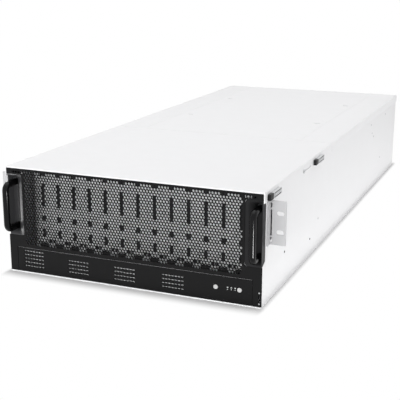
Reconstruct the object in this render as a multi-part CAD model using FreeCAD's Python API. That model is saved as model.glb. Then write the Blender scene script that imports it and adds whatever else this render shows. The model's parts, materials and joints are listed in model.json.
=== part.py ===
"""Four-unit storage server: white sheet-steel body, black perforated front, drives loaded from above.

Millimetres. X runs to the right seen from the front, Y to the rear, Z up.
Every piece is drawn with Y measured from the face of the front panel. When the pieces are written they are
moved together, so that the origin lies under the middle of the whole object, on the surface it stands on.
"""
import FreeCAD
import Part
import math
import os
from FreeCAD import Vector

# Body, lids closed, without handles, rack ears and power supply handles
body_width = 434.0
body_height = 175.0
computer_bay = 259.4

# Sheet metal and the clearances between its pieces
sheet = 1.2
floor_sheet = 1.5
slide_gap = 0.3
seam_gap = 0.4
flange_width = 10.0

# How far cutting solids reach past a face, and fused solids into one another
overlap = 1.0

# Lids
seam_offset = 10.2
lid_seam = 1.2
skirt_height = 16.0
lid_hem = 6.0
lid_travel = 45.0
lid_lip = 10.0
lip_side_gap = 1.0
bead_x = 157.5
bead_width = 3.0
bead_depth = 0.5
bead_margin = 14.0
dimple_x = 136.0
dimple_places = (563.0, 810.0)
dimple_radius = 4.5
dimple_sides = 8
dimple_depth = 0.7
rear_flange = 15.0

# Studs that guide the front lid, and the slots they run in
guide_y = 199.0
guide_drop = 12.0
guide_pin_radius = 2.0
guide_head_radius = 3.6
guide_head = 1.6
guide_clearance = 0.3

# Slide latches on the front lid's skirts
latch_places = (12.0, 258.0)
latch_length = 52.0
latch_head = 14.0
latch_height = 9.0
latch_reach = 5.5
latch_drop = 5.5
latch_skin = 0.8
latch_travel = 8.0
latch_gap = 0.3
latch_window_margin = 6.0
latch_window_rim = 1.0
latch_rib = 1.6

# Front panel
panel_sheet = 1.2
panel_top_gap = 2.8
panel_bottom_gap = 0.2
rail_depth = 13.0
rail_drop = 5.0
grille_side_margin = 2.5
grille_bottom_margin = 5.5
grille_top_margin = 5.7
grille_pitch = 23.0
grille_web = 4.6

# Lower front panel with its vents, buttons and lights
lower_side_gap = 14.3
lower_height = 42.0
vent_inset = 29.8
vent_group_pitch = 81.6
vent_group_width = 36.0
vent_rows = (5, 4, 4, 4)
vent_first_z = 11.6
vent_row_pitch = 6.3
vent_slot = 2.2
button_z = 23.7
power_button_inset = 57.4
id_button_inset = 19.8
button_radius = 3.5
button_sides = 16
button_gap = 0.3
button_proud = 0.6
button_cap = 3.2
button_flange = 4.8
button_flange_sheet = 1.0
button_stem = 1.5
button_travel = 1.5
light_inset = 38.7
light_pitch = 6.0
light_count = 3
light_rows = ((25.5, 1.2), (22.4, 0.8))
light_gap = 0.1
control_board_back = 13.0
control_board_margin = 9.0
control_board_height = 28.0
board_thickness = 1.6
switch_size = 6.0
switch_height = 3.5
control_post = 4.0

# Handle pockets
pocket_depth = 14.5
pocket_width = 28.0
pocket_slope = 9.0
pocket_top_gap = 9.2
pocket_height = 101.0
pocket_ramp_low = 7.0
pocket_ramp_high = 8.0
pocket_skin = 2.0
pocket_outer_skin = 1.0

# Handles
handle_bar = 10.5
handle_reach = 23.2
handle_side_gap = 4.0
handle_drop = 51.5
handle_height = 83.0
handle_bend = 9.0
handle_sides = 8

# Rack ears, to the standard panel width and hole spacing
ear_reach = 24.3
ear_slot_inset = 8.75
rack_slot_spacing = 28.575
rack_slot_drop = 64.7
ear_sheet = 2.0
ear_front_gap = 1.0
ear_flange = 13.0
ear_height = 67.0
ear_slot_radius = 3.5
ear_slot_length = 11.5
ear_slit = 2.6
ear_slit_end = 3.5
ear_bridge = 2.5
ear_bridge_spacing = 42.0
ear_window = 16.0
ear_window_gap = 0.6

# Drive bay
bay_side_space = 20.0
column_gap = 2.4
rows_per_lid = 3
drive_thickness = 26.1
drive_width = 101.6
drive_length = 147.0
row_gap = 4.4
bay_front = 34.2
bay_sheet = 1.0
bay_rise = 0.9
bay_front_margin = 1.0
bay_clearance = 2.8
brace_bay = 44.4
divider_drop = 11.1
backplane_lift = 6.0
connector_height = 5.0
connector_width = 33.0
connector_margin = 6.0
standoff = 5.0
carrier_inset = 0.5
carrier_base = 1.5
carrier_height = 5.0

# Openings in the drive bay's walls, repeated at each column: width, drop from the wall's top edge, height
wall_slots = ((6.0, 18.8, 39.2), (8.0, 73.0, 9.0), (6.0, 95.5, 14.3), (16.0, 119.5, 8.5))
wall_tab_slot = (12.0, 112.5, 5.5)
wall_notch_width = 9.4
wall_notch_depth = 7.0
rear_wall_slot = (17.0, 16.0, 86.0)

# Middle brace under the lids' seam
brace_width = 30.0
brace_leg = 16.0

# Fans
fan_count = 3
fan_size = 92.0
fan_depth = 38.0
fan_pitch = 122.0
fan_wall_gap = 8.0
fan_rim = 2.0
fan_opening_sides = 8
fan_duct_sides = 20
fan_hub_radius = 18.5
fan_hub_length = 26.0
fan_hub_front = 3.0
fan_hub_skin = 2.0
fan_blade_count = 5
fan_tip_gap = 2.5
fan_blade_chord = 22.0
fan_blade_thickness = 1.6
fan_blade_angle = 42.0
fan_base_radius = 18.0
fan_base = 4.0
fan_base_sides = 6
fan_strut = 5.0
fan_tube_radius = 5.0
fan_shaft_radius = 2.0
fan_shaft_gap = 0.05
fan_end_gap = 0.5

# Computer board on its tray
tray_gap = 5.2
tray_front_gap = 10.0
board_lift = 6.5
board_width = 305.0
board_depth = 244.0
board_rear_gap = 4.0
sink_x = 75.0
sink_y = 128.0
sink_width = 78.0
sink_depth = 108.0
sink_height = 64.0
sink_base = 6.0
sink_fin = 1.2
sink_fin_count = 14
memory_count = 4
memory_pitch = 9.5
memory_length = 133.0
memory_height = 31.0
memory_thickness = 4.0
memory_gap = 8.0

# Expansion cards, and the ports on the board's rear edge
card_places = (-122.0, -61.0)
card_margin = 14.0
card_depth = 167.0
card_lift = 9.0
card_edge_front = 20.0
card_edge_rear = 40.0
card_sink_front = 30.0
card_bracket_side = 3.0
card_opening_margin = 2.0
bracket_width = 18.4
bracket_top_gap = 4.0
bracket_sheet = 0.9
card_sink = 12.0
card_sink_length = 60.0
port_sizes = ((16.0, 13.5), (16.0, 13.5), (14.5, 16.0), (14.5, 16.0), (31.0, 12.0))
port_first_x = 12.0
port_spacing = 9.0
port_depth = 20.0
port_skin = 1.0
port_socket = 14.0
port_gap = 0.3

# Rear panel vents
rear_slot_width = 6.0
rear_slot_pitch = 14.0
upper_vent_count = 9
upper_vent_lift = 27.7
upper_vent_margin = 13.5
lower_vent_count = 13
lower_vent_lift = 7.5
lower_vent_margin = 8.0
lower_vent_gap = 16.1

# Power supplies
supply_count = 2
supply_width = 73.5
supply_height = 40.0
supply_length = 183.0
supply_side_gap = 3.0
supply_spacing = 3.0
supply_lift = 0.3
supply_mouth_gap = 1.2
inlet_inset = 23.5
inlet_width = 24.0
inlet_height = 17.0
inlet_depth = 17.0
pin_thickness = 2.0
pin_height = 4.0
pin_length = 14.0
pin_spread = 7.0
pin_rise = 4.0
pin_drop = 0.5
fan_guard_x = 16.0
fan_guard_size = 26.0
fan_guard_depth = 6.0
fan_guard_bar = 1.6
fan_guard_bars = 4
supply_handle_x = 33.0
supply_handle_width = 7.0
supply_handle_reach = 23.0
supply_handle_bar = 5.0
supply_handle_margin = 4.0
release_inset = 4.5
release_reach = 17.0
release_thickness = 2.4
release_height = 18.0
release_root = 4.0
release_pad = 1.5
release_travel = 4.0
release_gap = 0.2

# Places that several pieces share: across the body and in height
skirt_outer = body_width / 2
skirt_inner = skirt_outer - sheet
wall_outer = skirt_inner - slide_gap
wall_inner = wall_outer - sheet
lid_under = body_height - sheet
wall_top = lid_under - slide_gap
flange_under = wall_top - sheet
skirt_low = body_height - skirt_height
rear_flange_low = body_height - rear_flange
guide_z = body_height - guide_drop
latch_mid = body_height - latch_drop - latch_height / 2
latch_window_half = latch_height / 2 - latch_skin - latch_window_rim
latch_window_length = latch_length - latch_head - 2 * latch_window_margin
latch_rib_count = int((latch_window_length - latch_travel - 2 * latch_gap) / (2 * latch_rib))
panel_top = body_height - panel_top_gap
panel_bottom = floor_sheet + panel_bottom_gap

# Shared places on the front
pocket_mouth_x = wall_outer - pocket_width
pocket_floor_x = pocket_mouth_x + pocket_slope
pocket_high = panel_top - pocket_top_gap
pocket_low = pocket_high - pocket_height
pocket_floor_low = pocket_low + pocket_ramp_low
pocket_floor_high = pocket_high - pocket_ramp_high
handle_x = wall_outer - handle_side_gap - handle_bar / 2
handle_mid = pocket_high - handle_drop
handle_leg_half = (handle_height - handle_bar) / 2
grille_half_width = pocket_mouth_x - grille_side_margin
grille_low = lower_height + grille_bottom_margin
grille_high = panel_top - grille_top_margin
lower_half_width = wall_outer - lower_side_gap
vent_first_x = vent_inset - lower_half_width
power_button_x = lower_half_width - power_button_inset
id_button_x = lower_half_width - id_button_inset
light_x = lower_half_width - light_inset
rack_width = body_width + 2 * ear_reach
ear_slot_x = rack_width / 2 - ear_slot_inset
ear_back = pocket_depth + ear_front_gap + ear_flange - ear_sheet
rack_slot_low = body_height - rack_slot_drop
ear_mid = rack_slot_low + rack_slot_spacing / 2
ear_window_half = ear_height / 2 - ear_slit_end

# Shared places in the drive bay
column_pitch = drive_thickness + column_gap
column_count = int(2 * (wall_inner - bay_side_space) / column_pitch)
column_xs = [(i - (column_count - 1) / 2) * column_pitch for i in range(column_count)]
bay_half_width = column_count * column_pitch / 2
bay_wall_half = bay_half_width + bay_front_margin
bay_inside_front = bay_front + bay_sheet
row_pitch = drive_width + row_gap
front_rows_start = bay_inside_front + bay_clearance
rear_rows_start = front_rows_start + rows_per_lid * row_pitch - row_gap + brace_bay
front_row_starts = [front_rows_start + i * row_pitch for i in range(rows_per_lid)]
rear_row_starts = [rear_rows_start + i * row_pitch for i in range(rows_per_lid)]
row_starts = front_row_starts + rear_row_starts
bay_inside_rear = row_starts[-1] + drive_width + bay_clearance
brace_mid = rear_rows_start - brace_bay / 2
front_lid_length = brace_mid + seam_offset
rear_lid_front = front_lid_length + lid_seam
backplane_low = floor_sheet + backplane_lift
backplane_top = backplane_low + board_thickness
drive_low = backplane_top + connector_height
drive_top = drive_low + drive_length
bay_height = drive_top + bay_rise
divider_top = drive_top - divider_drop

# Shared places behind the drive bay
fan_wall_front = bay_inside_rear + bay_sheet + fan_wall_gap
fan_front = fan_wall_front + sheet
fan_z = (floor_sheet + flange_under) / 2
fan_xs = [(i - (fan_count - 1) / 2) * fan_pitch for i in range(fan_count)]
fan_duct_radius = fan_size / 2 - fan_rim
fan_blade_tip = fan_duct_radius - fan_tip_gap
tray_front = fan_front + fan_depth + tray_front_gap
body_depth = tray_front + computer_bay
rear_inside = body_depth - sheet
supply_front = body_depth - supply_length
supply_low = floor_sheet + supply_lift
supply_mid = supply_low + supply_height / 2
tray_low = supply_low + supply_height + tray_gap
tray_top = tray_low + sheet
board_low = tray_top + board_lift
board_top = board_low + board_thickness
board_rear = rear_inside - board_rear_gap
bracket_high = flange_under - bracket_top_gap
card_high = bracket_high - card_margin + card_lift
supply_pitch = supply_width + supply_spacing
supply_lefts = [supply_side_gap - wall_inner + i * supply_pitch for i in range(supply_count)]
inlet_x = supply_width - inlet_inset
mouth_right = supply_lefts[-1] + supply_width + supply_mouth_gap
mouth_top = supply_low + supply_height + supply_mouth_gap
depth_shift = (body_depth + supply_handle_reach - handle_reach) / 2


def block(x0, x1, y0, y1, z0, z1):
    """A box between two corners, given in either order."""
    low = Vector(min(x0, x1), min(y0, y1), min(z0, z1))
    return Part.makeBox(abs(x1 - x0), abs(y1 - y0), abs(z1 - z0), low)


def outline(points):
    """A closed wire through points."""
    corners = [Vector(*p) for p in points]
    return Part.makePolygon(corners + corners[:1])


def rectangle_xz(x0, x1, z0, z1, y):
    """A rectangle facing the front, at depth y."""
    return outline([(x0, y, z0), (x1, y, z0), (x1, y, z1), (x0, y, z1)])


def regular_xz(x, z, radius, sides, y, turn=0.0):
    """A regular polygon facing the front, at depth y."""
    angles = [turn + 2 * math.pi * i / sides for i in range(sides)]
    return outline([(x + radius * math.cos(a), y, z + radius * math.sin(a)) for a in angles])


def prism_y(x, z, radius, sides, y0, y1):
    """A regular prism along Y."""
    return Part.Face(regular_xz(x, z, radius, sides, y0, math.pi / sides)).extrude(Vector(0, y1 - y0, 0))


def plate_xz(outer, holes, thickness):
    """An upright plate from its outline and the outlines of its holes, thickened towards the rear."""
    face = Part.makeFace([outer, *holes], "Part::FaceMakerBullseye")
    return face.extrude(Vector(0, thickness, 0))


def profile_yz(points, x0, x1):
    """A profile of (y, z) points, extruded across the body from x0 to x1."""
    face = Part.Face(outline([(x0, y, z) for y, z in points]))
    return face.extrude(Vector(x1 - x0, 0, 0))


def rod(start, direction, radius, length):
    """A cylinder from a point, along a direction."""
    return Part.makeCylinder(radius, length, Vector(*start), Vector(*direction))


def group(solids):
    """Separate solids that share one node."""
    return Part.makeCompound(solids)


def joined(solids):
    """Solids fused into one."""
    return solids[0].fuse(solids[1:]).removeSplitter()


def chassis_floor():
    """Flat floor between the side walls; its front edge shows under the lower front panel."""
    return block(-wall_inner, wall_inner, 0, body_depth, 0, floor_sheet)


def side_wall(side):
    """Side wall: hand scoop in its front edge, window behind the rack ear, inward flange under the lids."""
    points = [
        (panel_sheet, 0), (panel_sheet, pocket_low), (pocket_depth, pocket_floor_low),
        (pocket_depth, pocket_floor_high), (panel_sheet, pocket_high), (panel_sheet, wall_top),
        (body_depth, wall_top), (body_depth, 0)]
    wall = profile_yz(points, side * wall_inner, side * wall_outer)
    flange = block(side * (wall_inner - flange_width), side * wall_inner,
                   panel_sheet + rail_depth, rear_inside, flange_under, wall_top)
    window_front = ear_back + ear_sheet + ear_window_gap
    window = block(side * (wall_inner - overlap), side * (wall_outer + overlap), window_front,
                   window_front + ear_window, ear_mid - ear_window_half, ear_mid + ear_window_half)
    return joined([wall, flange]).cut(window)


def front_top_rail():
    """Folded rail across the top of the front opening, behind the panel."""
    top = block(-wall_inner, wall_inner, panel_sheet, panel_sheet + rail_depth, panel_top - sheet, panel_top)
    back = panel_sheet + rail_depth
    leg = block(-wall_inner, wall_inner, back - sheet, back, panel_top - rail_drop, panel_top - sheet)
    return joined([top, leg])


def mid_brace():
    """Channel across the body between the two groups of drive rows, under the lids' seam."""
    y0 = brace_mid - brace_width / 2
    y1 = brace_mid + brace_width / 2
    top = block(-wall_inner, wall_inner, y0, y1, flange_under - sheet, flange_under)
    legs = [block(-wall_inner, wall_inner, y, y + sheet, flange_under - brace_leg, flange_under - sheet)
            for y in (y0, y1 - sheet)]
    return joined([top, *legs])


def front_lid():
    """Sliding lid over the front drive rows, with guide slots in its skirts and a hemmed front edge."""
    top = block(-skirt_outer, skirt_outer, 0, front_lid_length, lid_under, body_height)
    skirts = [block(side * skirt_inner, side * skirt_outer, 0, front_lid_length, skirt_low, lid_under)
              for side in (-1, 1)]
    hem_x = wall_inner - seam_gap
    hem = block(-hem_x, hem_x, 0, lid_hem, lid_under - sheet + slide_gap, lid_under)
    half = guide_pin_radius + guide_clearance
    slots = block(-skirt_outer - overlap, skirt_outer + overlap, guide_y - half, guide_y + half + lid_travel,
                  guide_z - half, guide_z + half)
    return joined([top, *skirts, hem]).cut(slots)


def octagonal_cutter(x, y):
    """Shallow eight-sided recess in the rear lid's face."""
    angles = [math.pi * (2 * i + 1) / dimple_sides for i in range(dimple_sides)]
    ring = [(x + dimple_radius * math.cos(a), y + dimple_radius * math.sin(a), body_height - dimple_depth)
            for a in angles]
    return Part.Face(outline(ring)).extrude(Vector(0, 0, 2 * dimple_depth))


def rear_lid():
    """Fixed lid over the rear rows, fans and computer: pressed beads, dimples and a lip under the seam."""
    y0 = rear_lid_front
    top = block(-skirt_outer, skirt_outer, y0, body_depth + sheet, lid_under, body_height)
    skirts = [block(side * skirt_inner, side * skirt_outer, y0, body_depth, skirt_low, lid_under)
              for side in (-1, 1)]
    back = block(-skirt_outer, skirt_outer, body_depth, body_depth + sheet, rear_flange_low, lid_under)
    lip_x = wall_inner - flange_width - lip_side_gap
    lip_top = lid_under - slide_gap
    lip = block(-lip_x, lip_x, y0 - lid_lip, y0 + 2 * sheet, flange_under, lip_top)
    step = block(-lip_x, lip_x, y0, y0 + 2 * sheet, lip_top, lid_under)
    bead_low = body_height - bead_depth
    beads = [block(side * bead_x - bead_width / 2, side * bead_x + bead_width / 2, y0 + bead_margin,
                   body_depth - bead_margin, bead_low, body_height + overlap) for side in (-1, 1)]
    dimples = [octagonal_cutter(side * dimple_x, y) for y in dimple_places for side in (-1, 1)]
    return joined([top, *skirts, back, lip, step]).cut(beads + dimples)


def guide_section(radius):
    """Hexagonal section of a guide stud."""
    angles = [math.pi * i / 3 for i in range(6)]
    return [(guide_y + radius * math.cos(a), guide_z + radius * math.sin(a)) for a in angles]


def lid_guide_studs():
    """Shouldered studs on the side walls; the front lid's slots run along them, under their heads."""
    shoulder = skirt_outer + guide_clearance
    studs = []
    for side in (-1, 1):
        pin = profile_yz(guide_section(guide_pin_radius), side * wall_outer, side * shoulder)
        head = profile_yz(guide_section(guide_head_radius), side * shoulder, side * (shoulder + guide_head))
        studs.append(joined([pin, head]))
    return group(studs)


def latch_housing(side, place):
    """Folded steel housing on the skirt, open to the front, with a window over the slider's grip."""
    x0 = skirt_outer
    x1 = skirt_outer + latch_reach
    y0 = place + latch_head
    y1 = place + latch_length
    z0 = latch_mid - latch_height / 2
    z1 = latch_mid + latch_height / 2
    shell = block(side * x0, side * x1, y0, y1, z0, z1)
    hollow = block(side * (x0 - overlap), side * (x1 - latch_skin), y0 - overlap, y1 - latch_skin,
                   z0 + latch_skin, z1 - latch_skin)
    window = block(side * x0, side * (x1 + overlap), y0 + latch_window_margin, y1 - latch_window_margin,
                   latch_mid - latch_window_half, latch_mid + latch_window_half)
    return shell.cut([hollow, window])


def latch_slider(side, place):
    """Moulded slider: a head that the finger pulls, and a ribbed shank inside the housing."""
    x0 = skirt_outer + latch_gap
    x1 = skirt_outer + latch_reach
    inner = latch_skin + latch_gap
    head = block(side * x0, side * x1, place, place + latch_head - latch_gap,
                 latch_mid - latch_height / 2, latch_mid + latch_height / 2)
    shank_end = place + latch_length - latch_skin - latch_gap
    half = latch_height / 2 - inner
    shank = block(side * x0, side * (x1 - inner), place + latch_head - latch_gap, shank_end,
                  latch_mid - half, latch_mid + half)
    rib_half = latch_window_half - latch_gap
    rib_last = place + latch_length - latch_window_margin - latch_gap - latch_rib
    rib_fronts = [rib_last - 2 * i * latch_rib for i in range(latch_rib_count)]
    ribs = [block(side * (x1 - inner), side * x1, y, y + latch_rib, latch_mid - rib_half,
                  latch_mid + rib_half) for y in rib_fronts]
    return joined([head, shank, *ribs])


def hexagon_field():
    """Outlines of the staggered hexagonal holes that fill the grille's field."""
    radius = (grille_pitch - grille_web) / math.sqrt(3)
    row_step = grille_pitch * math.sqrt(3) / 2
    rows = int((grille_high - grille_low - 2 * radius) / row_step) + 1
    first = (grille_low + grille_high - (rows - 1) * row_step) / 2
    holes = []
    for row in range(rows):
        shift = (row % 2) * grille_pitch / 2
        count = int((grille_half_width - grille_pitch / 2 - shift) / grille_pitch)
        xs = [shift + i * grille_pitch for i in range(count + 1)]
        xs += [-x for x in xs if x > 0]
        holes += [regular_xz(x, first + row * row_step, radius, 6, 0, math.pi / 6) for x in xs]
    return holes


def front_grille():
    """Perforated black front panel, notched round the handle pockets and the lower front panel."""
    leg_x = lower_half_width + seam_gap
    leg_top = lower_height + seam_gap
    right = [
        (leg_x, leg_top), (leg_x, panel_bottom), (wall_outer, panel_bottom), (wall_outer, pocket_low),
        (pocket_mouth_x, pocket_low), (pocket_mouth_x, pocket_high), (wall_outer, pocket_high),
        (wall_outer, panel_top)]
    points = right + [(-x, z) for x, z in reversed(right)]
    return plate_xz(outline([(x, 0, z) for x, z in points]), hexagon_field(), panel_sheet)


def vent_slots():
    """Outlines of the vent rows in the lower front panel."""
    slots = []
    for i, rows in enumerate(vent_rows):
        middle = vent_first_x + i * vent_group_pitch
        for row in range(rows):
            z = vent_first_z + row * vent_row_pitch
            slots.append(rectangle_xz(middle - vent_group_width / 2, middle + vent_group_width / 2,
                                      z - vent_slot / 2, z + vent_slot / 2, 0))
    return slots


def light_places():
    """Centre and half width of each status light."""
    return [(light_x + i * light_pitch, z, half) for z, half in light_rows for i in range(light_count)]


def control_board_edges():
    """Left, right, lower and upper edge of the control board."""
    return (power_button_x - control_board_margin, id_button_x + control_board_margin,
            button_z - control_board_height / 2, button_z + control_board_height / 2)


def lower_front_panel():
    """Black strip with the vents, the buttons' holes and four posts for the control board."""
    edge = rectangle_xz(-lower_half_width, lower_half_width, panel_bottom, lower_height, 0)
    holes = vent_slots()
    holes += [regular_xz(x, button_z, button_radius + button_gap, button_sides, 0, math.pi / button_sides)
              for x in (power_button_x, id_button_x)]
    for x, z, half in light_places():
        reach = half + light_gap
        holes.append(rectangle_xz(x - reach, x + reach, z - reach, z + reach, 0))
    x0, x1, z0, z1 = control_board_edges()
    posts = [block(x, x + control_post, panel_sheet, control_board_back, z, z + control_post)
             for x in (x0, x1 - control_post) for z in (z0, z1 - control_post)]
    return joined([plate_xz(edge, holes, panel_sheet), *posts])


def control_board():
    """Circuit board behind the lower panel, with a switch behind each button."""
    x0, x1, z0, z1 = control_board_edges()
    board = block(x0, x1, control_board_back, control_board_back + board_thickness, z0, z1)
    half = switch_size / 2
    switches = [block(x - half, x + half, control_board_back - switch_height, control_board_back,
                      button_z - half, button_z + half) for x in (power_button_x, id_button_x)]
    return group([board, *switches])


def push_button(x):
    """Round button cap, a square flange behind the panel and a stem that ends just short of its switch."""
    cap = prism_y(x, button_z, button_radius, button_sides, -button_proud, button_cap - button_proud)
    flange_front = panel_sheet + seam_gap
    flange = block(x - button_flange, x + button_flange, flange_front, flange_front + button_flange_sheet,
                   button_z - button_flange, button_z + button_flange)
    stem_end = control_board_back - switch_height - button_travel - button_gap
    stem = block(x - button_stem, x + button_stem, flange_front, stem_end, button_z - button_stem,
                 button_z + button_stem)
    return joined([cap, flange, stem])


def status_light_pipes():
    """Clear square rods that carry light from the control board to the panel's face."""
    return group([block(x - half, x + half, 0, control_board_back, z - half, z + half)
                  for x, z, half in light_places()])


def pocket_frustum(side, grow, front, back, outer_x):
    """The pocket's tapering form, grown by a wall thickness and ending at outer_x."""
    mouth = sorted((side * (pocket_mouth_x - grow), side * outer_x))
    floor = sorted((side * (pocket_floor_x - grow), side * outer_x))
    return Part.makeWedge(mouth[0], front, pocket_low - grow, pocket_floor_low - grow, floor[0],
                          mouth[1], back, pocket_high + grow, pocket_floor_high + grow, floor[1])


def handle_pocket(side):
    """Moulded hand recess behind the panel's notch; its outer wall shows in the side wall's scoop."""
    shell = pocket_frustum(side, pocket_skin, panel_sheet, pocket_depth + pocket_skin, wall_inner)
    return shell.cut(pocket_frustum(side, 0, 0, pocket_depth, wall_inner - pocket_outer_skin))


def handle(side):
    """Bar bent into a bow, its legs standing on the pocket's floor: three straight runs and two bends."""
    x = side * handle_x
    bar_y = handle_bar / 2 - handle_reach
    low = handle_mid - handle_leg_half
    high = handle_mid + handle_leg_half
    bend_y = bar_y + handle_bend
    leg = Vector(0, bend_y - pocket_depth, 0)
    runs = []
    for z, inward in ((low, 1), (high, -1)):
        foot = regular_xz(x, z, handle_bar / 2, handle_sides, pocket_depth)
        section = Part.Face(foot)
        runs.append(section.extrude(leg))
        section.translate(leg)
        centre = Vector(x, bend_y, z + inward * handle_bend)
        runs.append(section.revolve(centre, Vector(1, 0, 0), -90 * inward))
        section.rotate(centre, Vector(1, 0, 0), -90 * inward)
        runs.append(section.extrude(Vector(0, 0, inward * (handle_leg_half - handle_bend))))
    return joined(runs)


def ear_slot_cutter(x, z):
    """Rounded slot that takes a rack screw."""
    half = ear_slot_length / 2 - ear_slot_radius
    front = ear_back - overlap
    depth = ear_sheet + 2 * overlap
    bar = block(x - half, x + half, front, front + depth, z - ear_slot_radius, z + ear_slot_radius)
    ends = [rod((x + end, front, z), (0, 1, 0), ear_slot_radius, depth) for end in (-half, half)]
    return joined([bar, *ends])


def rack_ear(side):
    """Folded rack ear: flange on the side wall, slits along the bend, slotted plate to the rack's width."""
    low = ear_mid - ear_height / 2
    high = ear_mid + ear_height / 2
    flange = block(side * wall_outer, side * (wall_outer + ear_sheet), ear_back - ear_flange + ear_sheet,
                   ear_back + ear_sheet, low, high)
    plate = block(side * wall_outer, side * rack_width / 2, ear_back, ear_back + ear_sheet, low, high)
    slots = [ear_slot_cutter(side * ear_slot_x, rack_slot_low + i * rack_slot_spacing) for i in range(2)]
    bend = wall_outer + ear_sheet
    bridges = [ear_mid - ear_bridge_spacing / 2, ear_mid + ear_bridge_spacing / 2]
    bottoms = [low + ear_slit_end, *[z + ear_bridge / 2 for z in bridges]]
    tops = [*[z - ear_bridge / 2 for z in bridges], high - ear_slit_end]
    slits = [block(side * bend, side * (bend + ear_slit), ear_back - overlap, ear_back + ear_sheet + overlap,
                   bottom, top) for bottom, top in zip(bottoms, tops)]
    return joined([flange, plate]).cut(slots + slits)


def column_opening(x, width, drop, height, y):
    """Outline of an opening in a wall of the drive bay, at its drop below the wall's top edge."""
    high = bay_height - drop
    return rectangle_xz(x - width / 2, x + width / 2, high - height, high, y)


def bay_front_wall():
    """Silver wall behind the grille: openings at each column of drives and between them, notched top edge."""
    half = bay_wall_half
    notch = bay_height - wall_notch_depth
    top = [(half, bay_height)]
    for x in reversed(column_xs):
        top += [(x + wall_notch_width / 2, bay_height), (x + wall_notch_width / 2, notch),
                (x - wall_notch_width / 2, notch), (x - wall_notch_width / 2, bay_height)]
    points = [(-half, floor_sheet), (half, floor_sheet), *top, (-half, bay_height)]
    holes = [column_opening(x, *size, bay_front) for x in column_xs for size in wall_slots]
    holes += [column_opening(x + column_pitch / 2, *wall_tab_slot, bay_front) for x in column_xs[:-1]]
    return plate_xz(outline([(x, bay_front, z) for x, z in points]), holes, bay_sheet)


def bay_rear_wall():
    """Rear wall of the drive bay with one tall air slot for each column."""
    edge = rectangle_xz(-bay_wall_half, bay_wall_half, floor_sheet, bay_height, bay_inside_rear)
    holes = [column_opening(x, *rear_wall_slot, bay_inside_rear) for x in column_xs]
    return plate_xz(edge, holes, bay_sheet)


def bay_side_walls():
    """Two walls that close the sides of the drive bay."""
    half = bay_sheet / 2
    return group([block(side * bay_half_width - half, side * bay_half_width + half, bay_inside_front,
                        bay_inside_rear, floor_sheet, divider_top) for side in (-1, 1)])


def bay_dividers():
    """Plates between the columns of drives, fixed to the bay's front and rear walls."""
    half = bay_sheet / 2
    low = drive_low + seam_gap
    middles = [x + column_pitch / 2 for x in column_xs[:-1]]
    return group([block(x - half, x + half, bay_inside_front, bay_inside_rear, low, divider_top)
                  for x in middles])


def drive_backplanes():
    """One circuit board under each row of drives."""
    half = bay_half_width - bay_sheet / 2 - seam_gap
    margin = row_gap / 2 - seam_gap
    return group([block(-half, half, y - margin, y + drive_width + margin, backplane_low, backplane_top)
                  for y in row_starts])


def connector_rails():
    """The rail of sockets along each backplane that the row's drives plug into."""
    middle = drive_width / 2
    half = bay_half_width - connector_margin
    return group([block(-half, half, y + middle - connector_width / 2, y + middle + connector_width / 2,
                        backplane_top, drive_low) for y in row_starts])


def board_standoffs():
    """Posts under the backplanes and the computer board."""
    posts = []
    half = bay_half_width - 2 * standoff
    for y in row_starts:
        for x in (-half, half):
            posts.append((x, y + drive_width / 2, floor_sheet, backplane_lift))
    for x in (-board_width / 2 + standoff, board_width / 2 - standoff):
        for y in (board_rear - board_depth + standoff, board_rear - standoff):
            posts.append((x, y, tray_top, board_lift))
    half = standoff / 2
    return group([block(x - half, x + half, y - half, y + half, z, z + height) for x, y, z, height in posts])


def drives(starts):
    """Disk drives standing on their connectors, in the rows that start at the given depths."""
    half = drive_thickness / 2
    return group([block(x - half, x + half, y, y + drive_width, drive_low, drive_top)
                  for y in starts for x in column_xs])


def drive_carriers():
    """Moulded carrier on top of each drive, its front end raised as a finger grip."""
    half = drive_thickness / 2 - carrier_inset
    carriers = []
    for y in row_starts:
        points = [(y, drive_top), (y + drive_width, drive_top), (y + drive_width, drive_top + carrier_base),
                  (y, drive_top + carrier_height)]
        carriers += [profile_yz(points, x - half, x + half) for x in column_xs]
    return group(carriers)


def fan_wall():
    """Cross wall with an eight-sided opening in front of each fan."""
    edge = rectangle_xz(-wall_inner, wall_inner, floor_sheet, flange_under, fan_wall_front)
    half_turn = math.pi / fan_opening_sides
    corner_radius = fan_duct_radius / math.cos(half_turn)
    holes = [regular_xz(x, fan_z, corner_radius, fan_opening_sides, fan_wall_front, half_turn)
             for x in fan_xs]
    return plate_xz(edge, holes, sheet)


def fan_frame(x):
    """Square fan frame with a round duct, and a motor base held by four struts round the bearing tube."""
    half = fan_size / 2
    y0 = fan_front
    y1 = fan_front + fan_depth
    edge = rectangle_xz(x - half, x + half, fan_z - half, fan_z + half, y0)
    frame = plate_xz(edge, [regular_xz(x, fan_z, fan_duct_radius, fan_duct_sides, y0)], fan_depth)
    base = prism_y(x, fan_z, fan_base_radius, fan_base_sides, y1 - fan_base, y1)
    struts = [block(x - half, x + half, y1 - fan_base, y1, fan_z - fan_strut / 2, fan_z + fan_strut / 2),
              block(x - fan_strut / 2, x + fan_strut / 2, y1 - fan_base, y1, fan_z - half, fan_z + half)]
    tube_front = y0 + fan_hub_front + fan_hub_skin + fan_end_gap
    tube = prism_y(x, fan_z, fan_tube_radius, fan_base_sides, tube_front, y1 - fan_base)
    bore = rod((x, tube_front - overlap, fan_z), (0, 1, 0), fan_shaft_radius + fan_shaft_gap,
               y1 - fan_base / 2 - tube_front + overlap)
    return joined([frame, base, *struts, tube]).cut(bore)


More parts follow.
